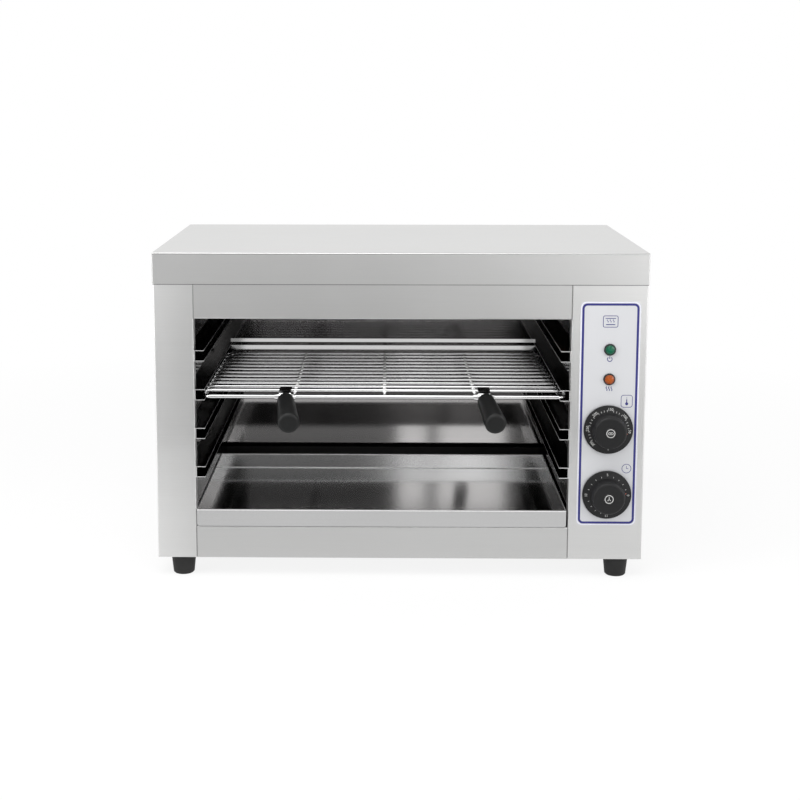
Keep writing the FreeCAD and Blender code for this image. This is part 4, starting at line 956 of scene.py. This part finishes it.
def bar(mesh, low, high):
    """A narrow bar between two corners, with its edges taken off."""
    made = bmesh.ops.create_cube(mesh, size=1.0)
    middle = [(a + b)/2 for a, b in zip(low, high)]
    for point in made["verts"]:
        point.co = Vector([c + (b - a)*p for c, a, b, p in zip(middle, low, high, point.co)])
    edges = list({edge for point in made["verts"] for edge in point.link_edges})
    thin = min(b - a for a, b in zip(low, high))
    bmesh.ops.bevel(mesh, geom=edges, offset=thin*EDGE_SHARE, segments=1, affect="EDGES")


print("sealant helpers ready")

# %% [markdown]
# ## Laying the joints
# Each joint is found from the boxes of the sheets that meet there: a level one under the lid's
# front, one under each side of the lid, and two upright ones beside the fascia and two beside the
# lower panel.

# %% Joint lines
JOINT_HEIGHT = 0.9*MM
JOINT_PROUD = 0.25*MM
LEVEL_DEPTH = 0.3*MM
UPRIGHT_HALF = 0.3*MM
UPRIGHT_DEPTH = 0.4*MM
REAR_GAP = 1.2*MM
lid_low, lid_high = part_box("lid")
rail_low, rail_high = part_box("fascia")
sill_low, sill_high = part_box("lower_front_panel")
side_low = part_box("left_side_panel")[0]
side_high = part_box("right_side_panel")[1]
# Painted shadow: dark strips in the joint gaps.
joint_shadows = bmesh.new()
face = rail_low.y
proud = face - JOINT_PROUD
foot = lid_low.z - JOINT_HEIGHT
bar(joint_shadows, (side_low.x, proud, foot), (side_high.x, face + LEVEL_DEPTH, lid_low.z))
for x in (side_low.x, side_high.x):
    bar(joint_shadows, (x - JOINT_PROUD, face, foot), (x + JOINT_PROUD, lid_high.y - REAR_GAP, lid_low.z))
for x in (rail_low.x, rail_high.x):
    for low, high in ((rail_low.z, lid_low.z), (sill_low.z, sill_high.z)):
        bar(joint_shadows, (x - UPRIGHT_HALF, proud, low), (x + UPRIGHT_HALF, face + UPRIGHT_DEPTH, high))
to_piece("joint_shadow", joint_shadows, "housing", joint_shadow_finish())

# %% [markdown]
# ## Weld beads on the rack
# Where a long wire crosses a cross wire, spot welding leaves a small flattened bead. A plain
# crossing looks drawn, so a low bead, made from a flattened ball, sits in every crossing.

# %% Weld beads
rack_low, rack_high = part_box("wire_rack")
rack_x = (rack_low.x + rack_high.x)/2
ROD_RADIUS = 2.5*MM
LONG_WIRES = 12
FIRST_GAP = 20*MM
LAST_GAP = 12*MM
CROSS_STEP = 112.875*MM
BEAD_RADIUS = 3.1*MM
BEAD_SQUASH = 0.85
BEAD_DROP = 3.7*MM
first_wire = rack_low.y + ROD_RADIUS + FIRST_GAP
last_wire = rack_high.y - ROD_RADIUS - LAST_GAP
wire_step = (last_wire - first_wire)/(LONG_WIRES - 1)


def bead(mesh, place):
    """A low round bead of metal."""
    made = bmesh.ops.create_icosphere(mesh, subdivisions=2, radius=BEAD_RADIUS)
    for point in made["verts"]:
        point.co.z *= BEAD_SQUASH
        point.co += Vector(place)


beads = bmesh.new()
for column in (-1, 0, 1):
    for k in range(LONG_WIRES):
        bead(beads, (rack_x + column*CROSS_STEP, first_wire + k*wire_step, rack_high.z - BEAD_DROP))
welds = to_piece("rack_welds", beads, "rack", FINISHES["chrome_wire"])
for face in welds.data.polygons:
    face.use_smooth = True

# %% [markdown]
# ## The studio
# The melter stands on a plain white floor that runs out of sight, with a white surrounding. Its
# floor could be lit until it is white, but that would bleach the steel too, so the floor and the
# sky show white only to the camera and to mirrors, and light the melter at a plain level. Near
# the melter the floor keeps a share of its own shading, which shows the soft shadow.

# %% Floor
NEAR_SHARE = 0.84
WHITE_FROM = 0.5
WHITE_REACH = 1.0
FLOOR_HALF = 12.0


def seen_share(tree):
    """1 for rays from the camera and for rays in mirrors and glass, else 0."""
    eye = tree.node("ShaderNodeLightPath", output="Is Camera Ray")
    mirror = tree.node("ShaderNodeLightPath", output="Is Glossy Ray")
    glass = tree.node("ShaderNodeLightPath", output="Is Transmission Ray")
    return eye.above(mirror).above(glass)


floor_material, tree = new_finish("studio_floor")
place = tree.node("ShaderNodeTexCoord", output="Object")
reach = tree.node("ShaderNodeVectorMath", {"operation": "LENGTH"}, {0: place}, output="Value")
share = seen_share(tree)*(NEAR_SHARE + ramp(reach - WHITE_FROM, WHITE_REACH)*(1 - NEAR_SHARE))
speckle = pattern(tree, 60.0, 3.0)
lit = tree.node("ShaderNodeBsdfPrincipled", None, {
    "Base Color": scaled(tree, (0.86, 0.86, 0.86), 0.98 + speckle*0.04), "Roughness": 0.7})
white = tree.node("ShaderNodeEmission", None, {"Color": WHITE, "Strength": 1.0})
surface = tree.node("ShaderNodeMixShader", None, {0: share, 1: lit, 2: white})
tree.node("ShaderNodeOutputMaterial", None, {"Surface": surface})

floor_mesh = bmesh.new()
bmesh.ops.create_grid(floor_mesh, x_segments=8, y_segments=8, size=FLOOR_HALF)
floor_data = bpy.data.meshes.new("studio_floor")
floor_mesh.to_mesh(floor_data)
floor_mesh.free()
floor_data.materials.append(floor_material)
floor = bpy.data.objects.new("studio_floor", floor_data)
bpy.context.scene.collection.objects.link(floor)
print("floor ready, half", FLOOR_HALF, "m")

# %% [markdown]
# ## The sky
# The surrounding is white as well. A picture of a room would bring its own colours, so one plain
# background does it: full white to the camera and to mirrors, and a weaker light to all else.

# %% Sky
SKY_LIGHT = 0.58
sky = bpy.data.worlds.new("studio_sky")
sky.use_nodes = True
sky.node_tree.nodes.clear()
tree = Wire(sky.node_tree)
strength = SKY_LIGHT + seen_share(tree)*(1 - SKY_LIGHT)
glow = tree.node("ShaderNodeBackground", None, {"Color": WHITE, "Strength": strength})
tree.node("ShaderNodeOutputWorld", None, {"Surface": glow})
bpy.context.scene.world = sky
print("sky light", SKY_LIGHT)

# %% [markdown]
# ## The lamps
# Soft light comes from large panels: one above and in front, which brightens the lid and draws a
# soft shadow, one at each side, which shades the folds and the round parts, and a narrow one that
# lifts the right end of the front. Area lights are used because their size sets how soft the
# shadows and the highlights are. Each row gives place, aim, width and height in metres, and watts.

# %% Lamps
def soft_box(name, place, target, width, height, power):
    """A rectangular lamp that faces a point."""
    data = bpy.data.lights.new(name, "AREA")
    data.shape = "RECTANGLE"
    data.size = width
    data.size_y = height
    data.energy = power
    lamp = bpy.data.objects.new(name, data)
    bpy.context.scene.collection.objects.link(lamp)
    lamp.location = place
    lamp.rotation_euler = (Vector(target) - Vector(place)).to_track_quat("-Z", "Y").to_euler()


MIDDLE = (0, 0, 0.2)
RIGHT_FRONT = (0.25, 0, 0.25)
LAMPS = {
    "top_lamp": ((-0.4, -0.9, 2.0), MIDDLE, 1.6, 1.2, 24),
    "left_lamp": ((-1.8, -1.0, 0.9), MIDDLE, 1.0, 1.4, 16),
    "right_lamp": ((1.8, -0.9, 0.9), MIDDLE, 1.0, 1.4, 14),
    "right_glow": ((0.95, -2.2, 0.65), RIGHT_FRONT, 0.4, 1.1, 4.5),
}
for name, sizes in LAMPS.items():
    soft_box(name, *sizes)
print("lamps:", sorted(LAMPS))

# %% [markdown]
# ## The dark cards
# Bare steel shows whatever stands in front of it. In the photograph the inside of the melter
# mirrors a dark room, and that is why its back wall looks nearly black. A studio does this on
# purpose with dark cards that the camera doesn't see. One lies on the floor before the melter,
# for the back wall. Others stand behind the camera, because the tray shows the room by way of the
# back wall. A bright panel in the gap between them makes the pale patch on the tray's floor, and a
# narrow slanted card before it parts that patch in two. Only mirror rays meet the cards.

# %% Where the cards are
FAR = -2.3
NEARER = FAR + 0.02
LOW, SEAM, HIGH = 0.55, 0.76, 1.15
GAP = (0.02, 0.36)
MIDDLE_FOOT, MIDDLE_HEAD = (0.112, 0.150), (0.100, 0.135)
LEFT_OF_GAP = (-2.4, GAP[0])
RIGHT_OF_GAP = (GAP[1], 1.9)
FLOOR_CARD = (-0.62, 0.52)
FLOOR_CARD_NEAR = -0.54
FLOOR_CARD_HEIGHT = 8*MM


def lying(sides, near, height):
    """Corners of a card on the floor, from its near edge to the far end."""
    left, right = sides
    return ((left, near, height), (right, near, height), (right, FAR, height), (left, FAR, height))


def hanging(foot_sides, head_sides, foot, head, y=FAR):
    """Corners of a hanging card, with its sides (left, right) at its foot and at its head."""
    return ((foot_sides[0], y, foot), (foot_sides[1], y, foot),
            (head_sides[1], y, head), (head_sides[0], y, head))


CARDS = (
    ("studio_card_floor", 0.13, lying(FLOOR_CARD, FLOOR_CARD_NEAR, FLOOR_CARD_HEIGHT)),
    ("studio_card_left", 0.06, hanging(LEFT_OF_GAP, LEFT_OF_GAP, SEAM, HIGH)),
    ("studio_card_lower", 0.30, hanging(LEFT_OF_GAP, LEFT_OF_GAP, LOW, SEAM)),
    ("studio_card_right", 0.10, hanging(RIGHT_OF_GAP, RIGHT_OF_GAP, LOW, HIGH)),
    ("studio_card_middle", 0.35, hanging(MIDDLE_FOOT, MIDDLE_HEAD, LOW, HIGH, NEARER)),
    ("studio_panel", 2.2, hanging(GAP, GAP, LOW, HIGH)),
)
print("cards planned:", len(CARDS))

# %% [markdown]
# ## Making the cards
# A card gives off its own even tone, so that no lamp has to light it. It is left out of every
# kind of ray but the mirror ones, so it makes no shadow and no light on the melter.

# %% Cards
def card(name, tone, corners):
    """A flat sheet of one tone that only mirror rays meet."""
    material, tree = new_finish(name)
    cloth = pattern(tree, 40.0, 2.0)
    shader = tree.node("ShaderNodeEmission", None, {
        "Color": scaled(tree, (tone, tone, tone), 0.9 + cloth*0.2), "Strength": 1.0})
    tree.node("ShaderNodeOutputMaterial", None, {"Surface": shader})
    mesh = bmesh.new()
    mesh.faces.new([mesh.verts.new(corner) for corner in corners])
    data = bpy.data.meshes.new(name)
    mesh.to_mesh(data)
    mesh.free()
    data.materials.append(material)
    sheet = bpy.data.objects.new(name, data)
    bpy.context.scene.collection.objects.link(sheet)
    sheet.visible_camera = False
    sheet.visible_diffuse = False
    sheet.visible_shadow = False
    sheet.visible_transmission = False


for name, tone, corners in CARDS:
    card(name, tone, corners)
print("cards:", len(CARDS))
